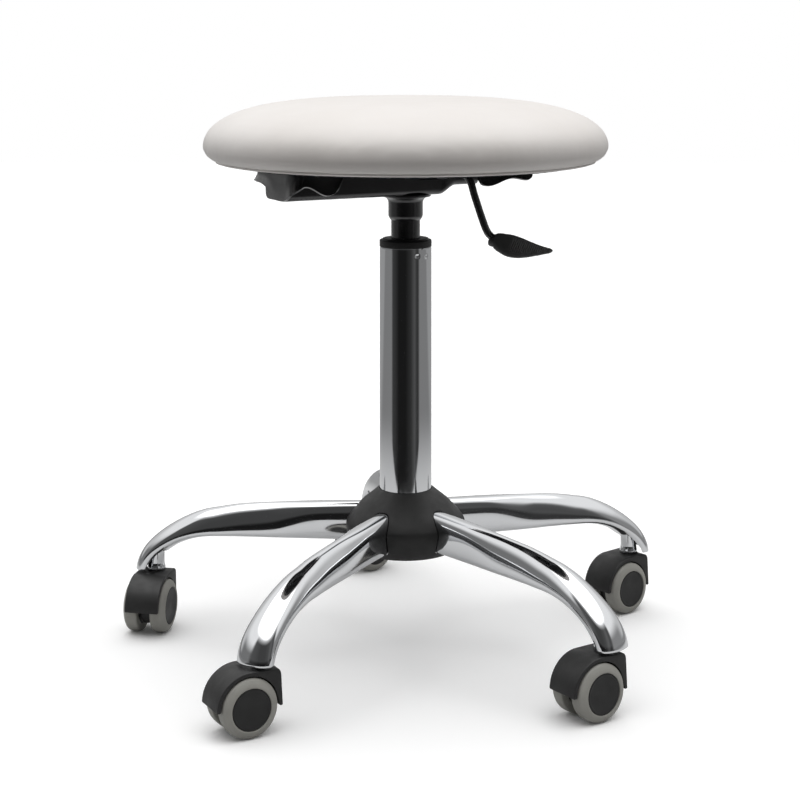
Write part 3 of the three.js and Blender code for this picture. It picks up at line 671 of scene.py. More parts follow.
CHANNEL = {"from": -137.0, "to": 68.0, "half": 22.0, "wall": 2.0, "floor_to": 30.0}
CHANNEL_STEP = (26.0, 44.0, 441.0)  # past the socket the walls' lower edge rises to this height
LEVER_WINDOW = (4.0, 42.0)


def channel_section(x):
    """U section of the channel from the near wall's top, under the floor, to the far wall's top."""
    half, top = CHANNEL["half"], PLATE_TOP - SHEET - 0.1
    start, end, raised = CHANNEL_STEP
    low = CHANNEL_BOTTOM + (raised - CHANNEL_BOTTOM) * ramp(x, start, end)
    sill = (top + low) / 2
    far_corner = 4.0 + 10.0 * (1 - ramp(x, CHANNEL["from"], CHANNEL["from"] + 24))
    section = [(-half, top), (-half, sill), (-half, low, 5.0)]
    section += [(half, low, far_corner), (half, sill), (half, top)]
    return [(x, y, z) for y, z in rounded(section)]


def seat_channel():
    """Box channel under the pan; its floor carries the socket and its near wall lets the lever through."""
    steps = 82
    stations = [CHANNEL["from"] + (CHANNEL["to"] - CHANNEL["from"]) * k / steps for k in range(steps + 1)]
    rows = [channel_section(x) for x in stations]
    count = len(rows[0])
    floor_face = count // 2 - 1
    faces = [tuple(range(count))]
    for i in range(steps):
        middle = (stations[i] + stations[i + 1]) / 2
        for k in range(count - 1):
            in_window = k == 0 and LEVER_WINDOW[0] < middle < LEVER_WINDOW[1]
            past_floor = k == floor_face and middle > CHANNEL["floor_to"]
            if in_window or past_floor:
                continue
            a = i * count + k
            faces.append((a, a + 1, a + count + 1, a + count))
    obj = raw_object("seat_channel", [v for row in rows for v in row], faces, turn(PLATE_HEADING))
    wall = obj.modifiers.new("wall", "SOLIDIFY")
    wall.thickness, wall.offset = CHANNEL["wall"] * MM, 0
    bake_modifiers(obj)
    return dress(soften(obj, 0.4, 50), ENAMEL, "seat")


def lever_ears():
    """Two ears that carry the lever's pivot bar."""
    roof, low = PLATE_TOP - SHEET, LEVER_HEIGHT - 6
    outline = rounded([
        (PIVOT_REACH - 7, roof), (PIVOT_REACH - 6, low, 5),
        (PIVOT_REACH + 6, low, 5), (PIVOT_REACH + 7, roof),
    ], True)
    for hand, inner, outer in (("right", -10.5, -8.0), ("left", 8.0, 10.5)):
        ear = raw_object(f"lever_ear_{hand}", *slab(outline, inner, outer), turn(LEVER_HEADING))
        dress(soften(ear, 0.4, 50), ENAMEL, "seat")


def seat_socket():
    lo, hi = floor_box("seat_socket")
    bore, radius, flange = 14.3, 16.75, (hi[0] - lo[0]) / 2
    rim = CHANNEL_BOTTOM - 0.3
    outline = [
        (bore, lo[2], 0.6), (radius - 2.2, lo[2], 0.8), (radius, lo[2] + 3.2, 2), (radius, rim - 7, 3),
        (radius + 2.5, rim - 3.6, 3), (flange, rim - 2.6, 0.8), (flange, rim, 0.6), (radius, rim),
        (radius, hi[2], 0.6), (bore, hi[2], 0.6),
    ]
    return piece("seat_socket_fine", lathe(outline, 96), ENAMEL, "seat", ("seat_socket",))


def seat_screws():
    """Low button heads with a hexagon recess."""
    for number in range(1, 5):
        lo, hi = floor_box(f"seat_bolt_{number}")
        low, top = lo[2], hi[2]
        head, shank, under = 5.5, 3.0, low + 3.5
        recess = ((0.0001, low + 2.2), (1.9, low + 2.2), (1.95, low + 0.3))
        outside = (
            (2.5, low + 0.05), (3.6, low), (4.9, low + 0.7), (head, low + 1.8), (head, under - 0.2),
            (head - 0.2, under), (shank, under), (shank, top - 0.5), (shank - 0.5, top),
        )
        rings = [hexagon(across, z) for across, z in recess]
        rings += [[(*polar(r, TAU * k / 48), z) for k in range(48)] for r, z in outside]
        place = Matrix.Translation(((lo[0] + hi[0]) / 2, (lo[1] + hi[1]) / 2, 0))
        piece(f"seat_screw_{number}", skin(rings), ZINC, "seat", (f"seat_bolt_{number}",), place)


def hexagon(across, z, count=48):
    """Points round a regular hexagon whose flats lie at the given distance from its centre."""
    ring = []
    for k in range(count):
        angle = TAU * k / count
        radius = across / math.cos((angle % (TAU / 6)) - TAU / 12)
        ring.append((*polar(radius, angle), z))
    return ring


# ---- gas lift -------------------------------------------------------------------------------
CRIMPS = ((-63, 7.5), (-37, 8.5), (-183, 8.0))  # heading and distance below the column's mouth
CRIMP_DEPTH, CRIMP_WIDTH, CRIMP_HEIGHT = 0.7, 2.2, 1.6


def crimp_depth(x, y, below, radius):
    """How far the column's wall is pressed in at a point, this far below its mouth."""
    depth = 0.0
    for heading, level in CRIMPS:
        aside = (math.degrees(math.atan2(y, x)) - heading + 180) % 360 - 180
        sideways = math.radians(aside) * radius / CRIMP_WIDTH
        depth += CRIMP_DEPTH * math.exp(-(sideways**4) - ((below - level) / CRIMP_HEIGHT) ** 4)
    return depth


def column():
    """Chromed tube; small crimp marks near its mouth hold the bushing."""
    lo, hi = floor_box("column_tube")
    radius, wall, bottom, top = (hi[0] - lo[0]) / 2, 1.8, lo[2], hi[2]
    heights = [bottom + 1.2 + k * 8 for k in range(34)] + [top - 22 + k * 0.8 for k in range(27)]
    outer = [(radius - 1.0, bottom), (radius - 0.3, bottom + 0.3)] + [(radius, z) for z in heights]
    outer += [(radius - 0.15, top - 0.25), (radius - 0.5, top)]
    inner = [(radius - wall, top), (radius - wall, bottom + 3), (5.5, bottom + 3), (5.5, bottom)]
    verts, faces = lathe(outer + inner, 240)
    pressed = []
    for x, y, z in verts:
        r = math.hypot(x, y)
        crimped = r > radius - 0.05 and z > top - 24
        kept = 1 - crimp_depth(x, y, top - z, radius) / r if crimped else 1
        pressed.append((x * kept, y * kept, z))
    return piece("column", (pressed, faces), CHROME, "base", ("column_tube",))


def guide_ring():
    lo, hi = floor_box("guide_bushing")
    flange, seat = (hi[0] - lo[0]) / 2, floor_box("column_tube")[1][2] + 0.2
    bore, liner = 14.2, flange - 2.2
    outline = [
        (bore, lo[2], 0.5), (liner, lo[2], 1), (liner, seat), (flange + 0.1, seat, 0.5),
        (flange + 0.1, seat + 6.2, 1.2), (22.4, seat + 6.5, 0.5), (22.0, seat + 7.8, 0.6),
        (bore + 1.2, seat + 7.8, 0.6), (bore, seat + 6.6, 0.4),
    ]
    return piece("guide_ring", lathe(outline, 120), NYLON, "base", ("guide_bushing",))


def inner_tube():
    lo, hi = floor_box("pressure_tube")
    radius, bore = 14.0, 11.0
    outline = [
        (bore, lo[2], 0.4), (radius, lo[2], 1.6), (radius, hi[2] - 2.4, 2), (radius - 2.2, hi[2], 1),
        (3.2, hi[2], 0.4), (3.2, hi[2] - 5), (bore, hi[2] - 5),
    ]
    return piece("inner_tube", lathe(outline, 96), ENAMEL, "seat", ("pressure_tube",))


def lift_rod():
    lo, hi = floor_box("piston_rod")
    r, z, top, piston = 5.0, lo[2], hi[2], 10.5
    outline = [
        (0, z), (r, z, 0.6), (r, z + 1.9, 0.1), (r - 1, z + 1.9), (r - 1, z + 3.5), (r, z + 3.5, 0.1),
        (r, top - 12, 0.1), (piston, top - 12, 0.8), (piston, top - 8, 0.3), (piston - 1.2, top - 7.6, 0.6),
        (piston - 1.2, top - 4.4, 0.6), (piston, top - 4, 0.3), (piston, top, 0.8), (0, top),
    ]
    return piece("lift_rod", lathe(outline, 64), ZINC, "piston", ("piston_rod",))


def release_pin():
    lo, hi = floor_box("valve_pin")
    outline = [(0, lo[2]), (2.5, lo[2], 0.4), (2.5, hi[2], 0.9), (0, hi[2])]
    return piece("release_pin", lathe(outline, 40), ZINC, "valve", ("valve_pin",))


def spring_clip():
    """Open spring clip with two rounded ends."""
    lo, hi = floor_box("retaining_clip")
    low, high, count = lo[2] + 0.05, hi[2] - 0.05, 72
    gap = math.radians(18)
    rings = []
    for k in range(count + 1):
        angle = gap + (TAU - 2 * gap) * k / count
        end = min(k, count - k) / 4
        outer = 8.6 if end >= 1 else 6.8 + 1.8 * math.sqrt(max(0.0, 1 - (1 - end) ** 2))
        section = [(4.3, low), (outer, low), (outer, high), (4.3, high)]
        rings.append([(*polar(r, angle), z) for r, z in section])
    return piece("spring_clip", skin(rings), ZINC, "piston", ("retaining_clip",))


def ball_bearing():
    """Two washers with a ring of balls between them."""
    lo, hi = floor_box("thrust_bearing")
    inner, outer, low, high = 5.7, 11.0, lo[2], hi[2]
    face = low + (high - low) / 3.2
    lower = [(inner, low, 0.2), (outer, low, 0.4), (outer, face, 0.3), (inner, face, 0.2)]
    upper = [(r, low + high - z, e) for r, z, e in lower]
    piece("bearing_washer_lower", lathe(lower, 64), ZINC, "base", ("thrust_bearing",))
    piece("bearing_washer_upper", lathe(upper, 64), ZINC, "base")
    verts, faces = [], []
    ball = bmesh.new()
    bmesh.ops.create_uvsphere(ball, u_segments=16, v_segments=10, radius=1.15)
    points, rings = [v.co.copy() for v in ball.verts], [[v.index for v in f.verts] for f in ball.faces]
    ball.free()
    for k in range(12):
        centre = Vector((*polar(8.3, TAU * k / 12), (low + high) / 2))
        faces += [tuple(i + len(verts) for i in ring) for ring in rings]
        verts += [tuple(centre + p) for p in points]
    return piece("bearing_balls", (verts, faces), ZINC, "base")


# ---- hand lever -----------------------------------------------------------------------------
LEVER_LINE = [  # distance from the swivel axis, height over the pivot
    (-1, 0), (20, 0), (42, 0), (57, -1), (64.5, -8), (69, -22), (76.5, -44), (81.5, -56), (87, -61.5),
    (94, -64),
]
LEVER_RADIUS = 3.6


def lever_rod():
    """Bent round bar with its cross bar, which turns in the two ears."""
    line = [(x, 0, z + LEVER_HEIGHT) for x, z in LEVER_LINE]
    across, rings = Vector((0, 1, 0)), []
    for k in range(97):
        point, tangent = spline(line, k / 96)
        radius = LEVER_RADIUS * (0.55 + 0.45 * min(1.0, math.sqrt(k / 2.5)))
        rings.append(oval(point, across, tangent.cross(across) * -1, radius, radius, 2, 28))
    piece("lever_bar", skin(rings), ENAMEL, "lever", ("lever_rod",), turn(LEVER_HEADING))
    bar = lathe([(0, -12.5), (2.5, -12.5, 0.5), (2.5, 12.5, 0.5), (0, 12.5)], 32)
    pivot = Matrix.Translation((PIVOT_REACH, 0, LEVER_HEIGHT))
    place = turn(LEVER_HEADING) @ pivot @ Matrix.Rotation(math.pi / 2, 4, "X")
    return piece("lever_pivot_bar", bar, ZINC, "lever", (), place)


GRIP_FROM, GRIP_TO, GRIP_ROLL = (88.0, 390.1), (145.0, 381.7), 34.0
GRIP_WIDTH = [
    (0, 6.5), (0.04, 9.3), (0.1, 11.2), (0.27, 14.2), (0.44, 13.7), (0.615, 10.5), (0.786, 6.5), (0.957, 3.0),
    (1, 1.3),
]
GRIP_THICKNESS = [(0, 4.6), (0.08, 5.2), (0.2, 4.8), (0.45, 3.7), (0.8, 2.5), (0.97, 1.8), (1, 0.8)]
GRIP_BULGE, GRIP_SAG, RIB_DEPTH, RIB_PITCH = 3.0, 1.6, 0.6, 1.95


def grip_axes():
    start, end = (Vector((x, 0, z)) for x, z in (GRIP_FROM, GRIP_TO))
    along = (end - start).normalized()
    across = Matrix.Rotation(math.radians(GRIP_ROLL), 3, along) @ Vector((0, 1, 0))
    return start, end, across, along.cross(across)


def grip_neck():
    """Short knob at the grip's inner end, where the bar goes in."""
    start, end, across, over = grip_axes()
    along, rings = (end - start).normalized(), []
    for distance, half in ((-4.4, 1.6), (-4.0, 2.8), (-3.0, 3.7), (-1.5, 4.1), (0.5, 4.3), (3.0, 4.3)):
        rings.append(oval(start + along * distance - across * 3.4, across, over, half, half, 2.2, 40))
    return piece("grip_neck", skin(rings), GRIP_RUBBER, "lever", (), turn(LEVER_HEADING))


def lever_grip():
    """Leaf-shaped finger grip with a ribbed face and a plain rounded margin."""
    start, end, across, over = grip_axes()
    stations, count, rings = 230, 72, []
    for k in range(stations + 1):
        t = k / stations
        width, thick = smooth_table(GRIP_WIDTH, t), smooth_table(GRIP_THICKNESS, t)
        bow = math.sin(math.pi * t)
        centre = start.lerp(end, t) - over * GRIP_SAG * bow - across * GRIP_BULGE * bow
        ring = []
        for p in oval(centre, across, over, width, thick, 2.3, count):
            aside = (p - centre).dot(across) / width
            outward = (p - centre).dot(over) / thick
            field = max(0.0, 1 - (abs(aside) / 0.78) ** 6) * window(t, 0.3, 0.93, 0.03)
            rib = RIB_DEPTH * field * (0.5 + 0.5 * math.cos(TAU * (t * (end - start).length) / RIB_PITCH))
            ring.append(p - over * math.copysign(rib, outward) if abs(outward) > 0.3 else p)
        rings.append(ring)
    place = turn(LEVER_HEADING)
    return piece("lever_grip_fine", skin(rings), GRIP_RUBBER, "lever", ("lever_grip",), place, sharp=60)


def smooth_table(table, t, floor=0.3):
    """Catmull-Rom value of a table at t, never below the floor."""
    keys = [k for k, _ in table]
    i = max(0, min(len(keys) - 2, next((n for n, key in enumerate(keys) if key > t), len(keys) - 1) - 1))
    u = (t - keys[i]) / (keys[i + 1] - keys[i])
    v = [table[min(max(i + k, 0), len(table) - 1)][1] for k in (-1, 0, 1, 2)]
    low, high = (v[2] - v[0]) / 2, (v[3] - v[1]) / 2
    value = (2 * u**3 - 3 * u**2 + 1) * v[1] + (u**3 - 2 * u**2 + u) * low
    value += (-2 * u**3 + 3 * u**2) * v[2] + (u**3 - u**2) * high
    return max(value, floor)


def window(t, start, end, edge):
    """1 between start and end, falling to 0 over the edge inside each."""
    rise = min(1.0, max(0.0, (t - start) / edge))
    fall = min(1.0, max(0.0, (end - t) / edge))
    return rise * fall


# ---- five-armed base ------------------------------------------------------------------------
STEMS = [Vector(JOINTS[f"caster_swivel_{n}"]["pos_m"]) / MM for n in range(1, ARMS + 1)]
STEM_REACH = math.hypot(STEMS[0].x, STEMS[0].y)
ARM_HEADINGS = [math.degrees(math.atan2(p.y, p.x)) for p in STEMS]
ARM_LINE = [  # centre line of an arm: distance from the swivel axis, height
    (22, 115.4), (70, 113.4), (115, 111.3), (161, 108.6), (185, 106.1), (199.3, 104.1), (213.7, 100),
    (228.9, 93.2), (242.5, 84.3), (253.4, 74.4), (259.7, 64.4), (262, 55), (262.6, 46),
]
# Along the arm, by distance from the swivel axis: half-height, half-width, where the widest line lies as a
# share of the half-height, and the exponents of the section's upper and lower halves.
ARM_HEIGHT = [(0, 18.8), (115, 17.2), (161, 15.7), (198, 12.9), (226, 10.4), (244, 9.7), (270, 9.2)]
ARM_WIDTH = [(0, 10.2), (60, 10.8), (115, 12.2), (161, 14.2), (198, 15.9), (224, 16.9), (270, 17.6)]
ARM_BELLY = [
    (0, -0.25), (60, -0.2), (90, -0.22), (125, -0.58), (160, -0.62), (200, -0.6), (235, -0.35), (270, 0),
]
ROOF_POWER = [(0, 2.9), (60, 3.1), (90, 3.0), (110, 2.5), (130, 2.1), (170, 2.0), (230, 2.0), (270, 2.2)]
FLOOR_POWER = [(0, 5.0), (90, 4.0), (120, 3.0), (150, 2.3), (240, 2.2), (270, 2.4)]
ARM_ROOT = 0.0125  # share of the centre line at which the tube meets the hub sleeve
ARM_WALL = 1.8
END_CUT = ((236.0, 85.0), (256.6, 58.0))  # slanted cut under the tip: where it starts and ends
AROUND_ARM, ALONG_ARM = 56, 84  # mesh density


def below_rim(point):
    """True past the tube's slanted end cut or below its tip."""
    (x0, z0), (x1, z1) = END_CUT
    slant = z0 + (z1 - z0) * (point.x - x0) / (x1 - x0)
    return point.z < max(slant, z1)


def arm_point(t, angle_step, count, inset):
    """A point of the arm's skin, a share t along its centre line, moved in by the inset."""
    line = [Vector((x, 0, z)) for x, z in ARM_LINE]
    centre, tangent = spline(line, t)
    over = Vector((-tangent.z, 0, tangent.x))
    r = centre.x
    ring_angle = TAU * angle_step / count - math.pi / 2
    c, s = math.cos(ring_angle), math.sin(ring_angle)
    power = smooth_table(ROOF_POWER if s > 0 else FLOOR_POWER, r)
    side, belly = math.copysign(1, s), smooth_table(ARM_BELLY, r, -1.0)
    aside = math.copysign(abs(c) ** (2 / power), c)
    up = belly + (1 - side * belly) * side * abs(s) ** (2 / power)
    w, h = (smooth_table(table, r) - inset for table in (ARM_WIDTH, ARM_HEIGHT))
    return centre + Vector((0, 1, 0)) * (w * aside) + over * (h * up)


def arm_ends(count, start=0.68):
    """How far along the arm each lengthwise line runs before the end cut."""
    ends = []
    for k in range(count):
        t = start
        while t < 1.0 and not below_rim(arm_point(t, k, count, 0.0)):
            t += 0.002
        ends.append(t)
    return [(ends[k - 1] + 2 * ends[k] + ends[(k + 1) % count]) / 4 for k in range(count)]


def arm_ring(ends, share, inset, beyond=0.0):
    """The ring of skin points a share of the way from the root to the end cut."""
    spans = [ARM_ROOT + (end - ARM_ROOT) * share + beyond for end in ends]
    return [arm_point(t, k, len(ends), inset) for k, t in enumerate(spans)]


def arm_tube(number, ends):
    """Chromed oval tube, open under its tip, with a rounded rim."""
    rings = [arm_ring(ends, j / ALONG_ARM, 0.0) for j in range(ALONG_ARM + 1)]
    rings += [arm_ring(ends, 1.0, inset, 0.004) for inset in (0.35, ARM_WALL - 0.35)]
    rings += [arm_ring(ends, j / ALONG_ARM, ARM_WALL) for j in range(ALONG_ARM, -1, -2)]
    place, shape = turn(ARM_HEADINGS[number - 1]), skin(rings, closed=True)
    return piece(f"arm_tube_{number}", shape, CHROME, "base", (f"arm_{number}",), place, sharp=50)


def arm_boss(number):
    """Chromed caster socket welded inside the arm's tip."""
    place = turn(ARM_HEADINGS[number - 1]) @ Matrix.Translation((STEM_REACH, 0, 0))
    outline = [
        (5.8, 56.2, 0.3), (8.9, 56.2, 0.5), (9.0, 57.2, 0.5), (8.4, 59.4, 0.8), (8.0, 62.0, 0.5),
        (8.0, 78.0, 0.6), (5.8, 78.0, 0.3),
    ]
    return piece(f"arm_boss_{number}", lathe(outline, 64), CHROME, "base", (), place)


def arm_cutter(number, grow):
    """The root of an arm, grown a little, to open the cover round it."""
    count = 40
    rings = [[arm_point(t, k, count, -grow) for k in range(count)] for t in (0.012, 0.06, 0.11, 0.16, 0.22)]
    return raw_object("cutter", *skin(rings), turn(ARM_HEADINGS[number - 1]))


def hub_cover():
    """Bell-shaped cover: a dome over the arm roots and a wall that curls in below them."""
    outer = [
        (25.4, 148.4, 0.5), (28, 147), (31.5, 144), (36.4, 140.2), (41.2, 136.3), (46, 131.5), (50.9, 126.6),
        (54.6, 121.6), (57.3, 117, 2.5), (57.6, 112, 2), (56.3, 105.5), (53.8, 99), (50.3, 93.5),
        (47, 90, 1.2),
    ]
    inner = [
        (44.8, 90.6, 0.5), (48, 94), (51.6, 100), (54, 106), (55, 112, 2), (54.6, 116, 2), (52, 120.2),
        (48.6, 124.9), (44, 129.4), (39, 134.3), (34.5, 138.2), (29.8, 141.8), (25.4, 144.8),
    ]
    obj = raw_object("hub_bell", *lathe(outer + inner, 160, 5))
    carve(obj, *[arm_cutter(n, 0.55) for n in range(1, ARMS + 1)])
    return dress(obj, NYLON, "base", ("hub_cover",), sharp=38)


def hub_core():
    lo, hi = floor_box("hub_sleeve")
    outline = [(25.3, lo[2], 0.6), (29, lo[2], 0.8), (29, hi[2], 0.8), (25.3, hi[2], 0.6)]
    return piece("hub_core", lathe(outline, 96), CHROME, "base", ("hub_sleeve",))


# ---- casters --------------------------------------------------------------------------------
WHEEL_RADIUS, TRAIL = 25.0, 18.0
HOOD_RADIUS, ARCH_RADIUS, HOOD_HALF, WEB_HALF = 29.6, 26.4, 16.8, 5.6
HOOD_FRONT, HOOD_SKIRT, NECK_TOP = 11.4, 22.5, 55.0


def caster_place(number):
    """Stem axis on z, leading side towards x, as the wheel joint's own axis says."""
    axis = Vector(JOINTS[f"wheel_spin_{number}_left"]["axis"])
    heading = math.degrees(math.atan2(axis.x, -axis.y))
    stem = STEMS[number - 1]
    return Matrix.Translation((stem.x, stem.y, 0)) @ turn(heading)


def arc(centre, radius, start, end, steps):
    """Points from one angle to another, in degrees, round a centre."""
    turns = [math.radians(start + (end - start) * k / steps) for k in range(steps + 1)]
    return [tuple(Vector(centre) + Vector(polar(radius, angle))) for angle in turns]


def hood_outline():
    """Side view of the hood: fender arc, flat top, leading edge and its slim skirt."""
    top = WHEEL_RADIUS + HOOD_RADIUS
    fender = arc((-TRAIL, WHEEL_RADIUS), HOOD_RADIUS, 180, 90, 30)
    front = rounded([
        (-TRAIL, top), (HOOD_FRONT - 0.6, top - 0.1, 6.0), (HOOD_FRONT + 1.2, HOOD_SKIRT, 1.4),
        (HOOD_FRONT - 1.9, HOOD_SKIRT, 1.2), (HOOD_FRONT - 3.4, WHEEL_RADIUS + 5, 1.5),
        (-TRAIL, WHEEL_RADIUS),
    ], steps=6)
    return fender + front[1:]


def wheel_disc(name, radius, low, high, place, count=96):
    """A plain cylinder on the wheel axis, used as a cutter."""
    outline = arc((-TRAIL, WHEEL_RADIUS), radius, 0, 360, count)[:-1]
    return raw_object(name, *slab(outline, low, high), place)


def caster_hood(number, place):
    hood = raw_object(f"caster_hood_{number}", *slab(hood_outline(), -HOOD_HALF, HOOD_HALF), place)
    soften(hood, 1.6, 60, 4)
    bake_modifiers(hood)
    sides = ((-30, -WEB_HALF), (WEB_HALF, 30))
    wells = [wheel_disc("well", ARCH_RADIUS, low, high, place) for low, high in sides]
    bore = raw_object("bore", *slab(arc((0, 0), 5.9, 0, 360, 48)[:-1], 43, 70, "z"), place)
    carve(hood, *wells, bore)
    return dress(hood, NYLON, f"caster_{number}", (f"caster_housing_{number}",), sharp=38)


TONGUE = [  # height, half-width, reach behind and ahead of the axle
    (9.8, 2.4, 9.0, 3.0), (10.6, 3.0, 12.0, 5.5), (13.5, 4.0, 15.0, 8.4), (17.0, 4.9, 16.6, 9.6),
    (21.0, 5.5, 17.4, 10.0), (26.0, 5.5, 17.6, 10.0), (36.0, 5.5, 17.6, 10.0),
]


def caster_web(number, place):
    """Middle web between the wheels: it carries the axle and tapers to a tongue below."""
    rings = []
    for z, half, behind, ahead in TONGUE:
        back, front = -TRAIL - behind, -TRAIL + ahead
        corners = [(back, -half, 1.8), (front, -half, 1.8), (front, half, 1.8), (back, half, 1.8)]
        rings.append([(x, y, z) for x, y in rounded(corners, True, 4)])
    return piece(f"caster_web_{number}", skin(rings), NYLON, f"caster_{number}", (), place)


def caster_neck(number, place):
    outline = [(5.9, 50.0), (9.6, 50.0), (9.5, 54.2, 0.6), (9.2, NECK_TOP, 0.5), (5.9, NECK_TOP, 0.4)]
    return piece(f"caster_neck_{number}", lathe(outline, 64), NYLON, f"caster_{number}", (), place)


def caster_stem(number, place):
    lo, hi = floor_box(f"caster_stem_{number}")
    collar, top = NECK_TOP + 0.3, NECK_TOP + 0.9
    outline = [
        (0, lo[2]), (5.5, lo[2], 1), (5.5, collar, 0.1), (8.0, collar, 0.25), (8.0, top, 0.25),
        (5.5, top, 0.1), (5.5, hi[2], 1.4), (0, hi[2]),
    ]
    stands_for = (f"caster_stem_{number}",)
    return piece(f"caster_pin_{number}", lathe(outline, 48), ZINC, "base", stands_for, place)


def lying(place, side):
    """Turns a piece drawn about z to lie on the wheel axis, pointing to one side."""
    centre = Matrix.Translation((-TRAIL, 0, WHEEL_RADIUS))
    return place @ centre @ Matrix.Rotation(-side * math.pi / 2, 4, "X")


def caster_axle(number, place):
    outline = [(0, -18), (3, -18, 0.5), (3, 18, 0.5), (0, 18)]
    body, stands_for = f"caster_{number}", (f"caster_axle_{number}",)
    return piece(f"caster_pivot_{number}", lathe(outline, 32), ZINC, body, stands_for, lying(place, 1))


def tyre_outline():
    """Half section of the soft ring: flat tread, rounded shoulder, sloping side down to the disc."""
    return [
        (17.8, 6.6, 0.3), (24.2, 6.6, 0.8), (25.0, 7.8, 0.8), (25.05, 12.0), (25.0, 16.8, 1.6),
        (24.2, 18.6, 1.0), (21.2, 20.6, 1.6), (18.8, 21.4, 0.6), (17.8, 21.2, 0.3),
    ]


def core_outline():
    """Half section of the hard centre: bored from inside, with a slightly sunk face."""
    return [
        (0, 18.5), (3.4, 18.5), (3.4, 6.6, 0.4), (17.5, 6.6, 0.4), (17.5, 20.9, 0.7), (16.2, 21.25, 0.5),
        (15.2, 20.95, 0.5), (4.0, 20.65), (0, 20.6),
    ]


def wheel(number, hand, place):
    side = 1 if hand == "left" else -1
    which, where = f"{number}_{hand}", lying(place, side)
    body = f"wheel_{which}"
    piece(f"tyre_{which}", lathe(tyre_outline(), 120), TREAD, body, (f"wheel_tread_{which}",), where)
    piece(f"wheel_disc_{which}", lathe(core_outline(), 96), CORE, body, (f"wheel_core_{which}",), where)


def caster(number):
    place = caster_place(number)
    caster_hood(number, place)
    caster_web(number, place)
    caster_neck(number, place)
    caster_stem(number, place)
    caster_axle(number, place)
    for hand in ("left", "right"):
        wheel(number, hand, place)


# ---- building -------------------------------------------------------------------------------
def keep_cad_nodes():
    """The board stays as drawn; only its material is finer."""
    board = frame["nodes"]["seat_board"]
    board.data.materials.clear()
    board.data.materials.append(PLYWOOD)


def build_seat():
    cushion()
    seat_hem()
    seat_liner()
    staples()
    keep_cad_nodes()
    seat_pan()
    seat_channel()
    lever_ears()
    seat_socket()
    seat_screws()


def build_lift():
    column()
    guide_ring()
    inner_tube()
    lift_rod()
    release_pin()
    spring_clip()
    ball_bearing()
    lever_rod()
    lever_grip()
    grip_neck()


def build_base():
    ends = arm_ends(AROUND_ARM)
    for number in range(1, ARMS + 1):
        arm_tube(number, ends)
        arm_boss(number)
        caster(number)
    hub_cover()
    hub_core()


# ---- stage, light and camera ----------------------------------------------------------------
CAMERA_BACK, CAMERA_HEIGHT = 1.773, 0.598
FOCAL = 1833 / 800  # focal length as a share of the picture's side
HORIZON_SHIFT, SIDE_SHIFT = -0.4727, -0.007


class RayGraph:
    """Short math for a node tree that answers rays by where they go."""

    def __init__(self, tree):
        self.tree = tree

    def node(self, kind):
        return self.tree.nodes.new(kind)

    def math(self, operation, a, b=0.0, third=0.0):
        made = self.node("ShaderNodeMath")
        made.operation = operation
        for socket, value in zip(made.inputs, (a, b, third)):
            if isinstance(value, (int, float)):
                socket.default_value = value
            else:
                self.tree.links.new(value, socket)
        return made.outputs[0]

    def step(self, value, start, end):
        """0 before start and 1 after end, with a soft change between them."""
        made = self.node("ShaderNodeMapRange")
        made.interpolation_type = "SMOOTHSTEP"
        made.inputs["From Min"].default_value, made.inputs["From Max"].default_value = start, end
        self.tree.links.new(value, made.inputs["Value"])
        return made.outputs["Result"]

    def mix(self, share, a, b):
        """a where share is 0, b where it is 1."""
        grown = self.math("MULTIPLY", self.math("SUBTRACT", b, a), share)
        return self.math("ADD", grown, a)

    def split(self, vector):
        made = self.node("ShaderNodeSeparateXYZ")
        self.tree.links.new(vector, made.inputs[0])
        return made.outputs

    def flat_length(self, x, y):
        return self.math("SQRT", self.math("ADD", self.math("MULTIPLY", x, x), self.math("MULTIPLY", y, y)))

    def facing_front(self, x, y, start=0.40, end=0.54):
        """1 inside the dark sector towards the camera, measured by the cosine of the heading."""
        towards = self.math("DIVIDE", self.math("MULTIPLY", y, -1.0), self.flat_length(x, y))
        return self.step(towards, start, end)

    def dark_room(self, x, y):
        """Brightness of the dark room ahead, from left to right: it holds a few tall dim things."""
        made = self.node("ShaderNodeValToRGB")
        stops = made.color_ramp.elements
        for sideways, _ in DARK_ROOM[1:-1]:
            stops.new(0.5 + 0.5 * sideways)
        for stop, (_, level) in zip(stops, DARK_ROOM):
            stop.color = (level, level, level, 1)
        sideways = self.math("DIVIDE", x, self.flat_length(x, y))
        self.tree.links.new(self.math("MULTIPLY_ADD", sideways, 0.5, third=0.5), made.inputs["Fac"])
        return made.outputs["Color"]


# Radiances and greys. The dark room and the walls are what polished parts mirror; the SOFT values are the
# same room as dull surfaces gather it.
FLOOR_REACH, FLOOR_FLARE = 0.6, 0.22  # where the pale floor ends in front; its edge is nearer at the sides
FLOOR_NEAR, FLOOR_FAR, FLOOR_BEHIND, FLOOR_SEEN = 0.62, 0.20, 0.30, 1.07
# Sideways share of the heading, brightness: dim left, dark middle, a lit doorway, brighter right.
DARK_ROOM = [
    (-1.0, 0.06), (-0.5, 0.01), (0.0, 0.01), (0.4, 0.03), (0.65, 0.08), (0.8, 0.03), (1.0, 0.12),
]
HIGHER_ROOM = 0.05  # what the dark room gains a little above the floor
WALL_LEFT, WALL_RIGHT, BACKDROP = 0.20, 0.27, 0.6
UPPER_WALL, OVERHEAD = 0.95, 3.0
SOFT_LEFT, SOFT_RIGHT, SOFT_FRONT, SOFT_OVERHEAD = 0.60, 0.55, 0.22, 1.05


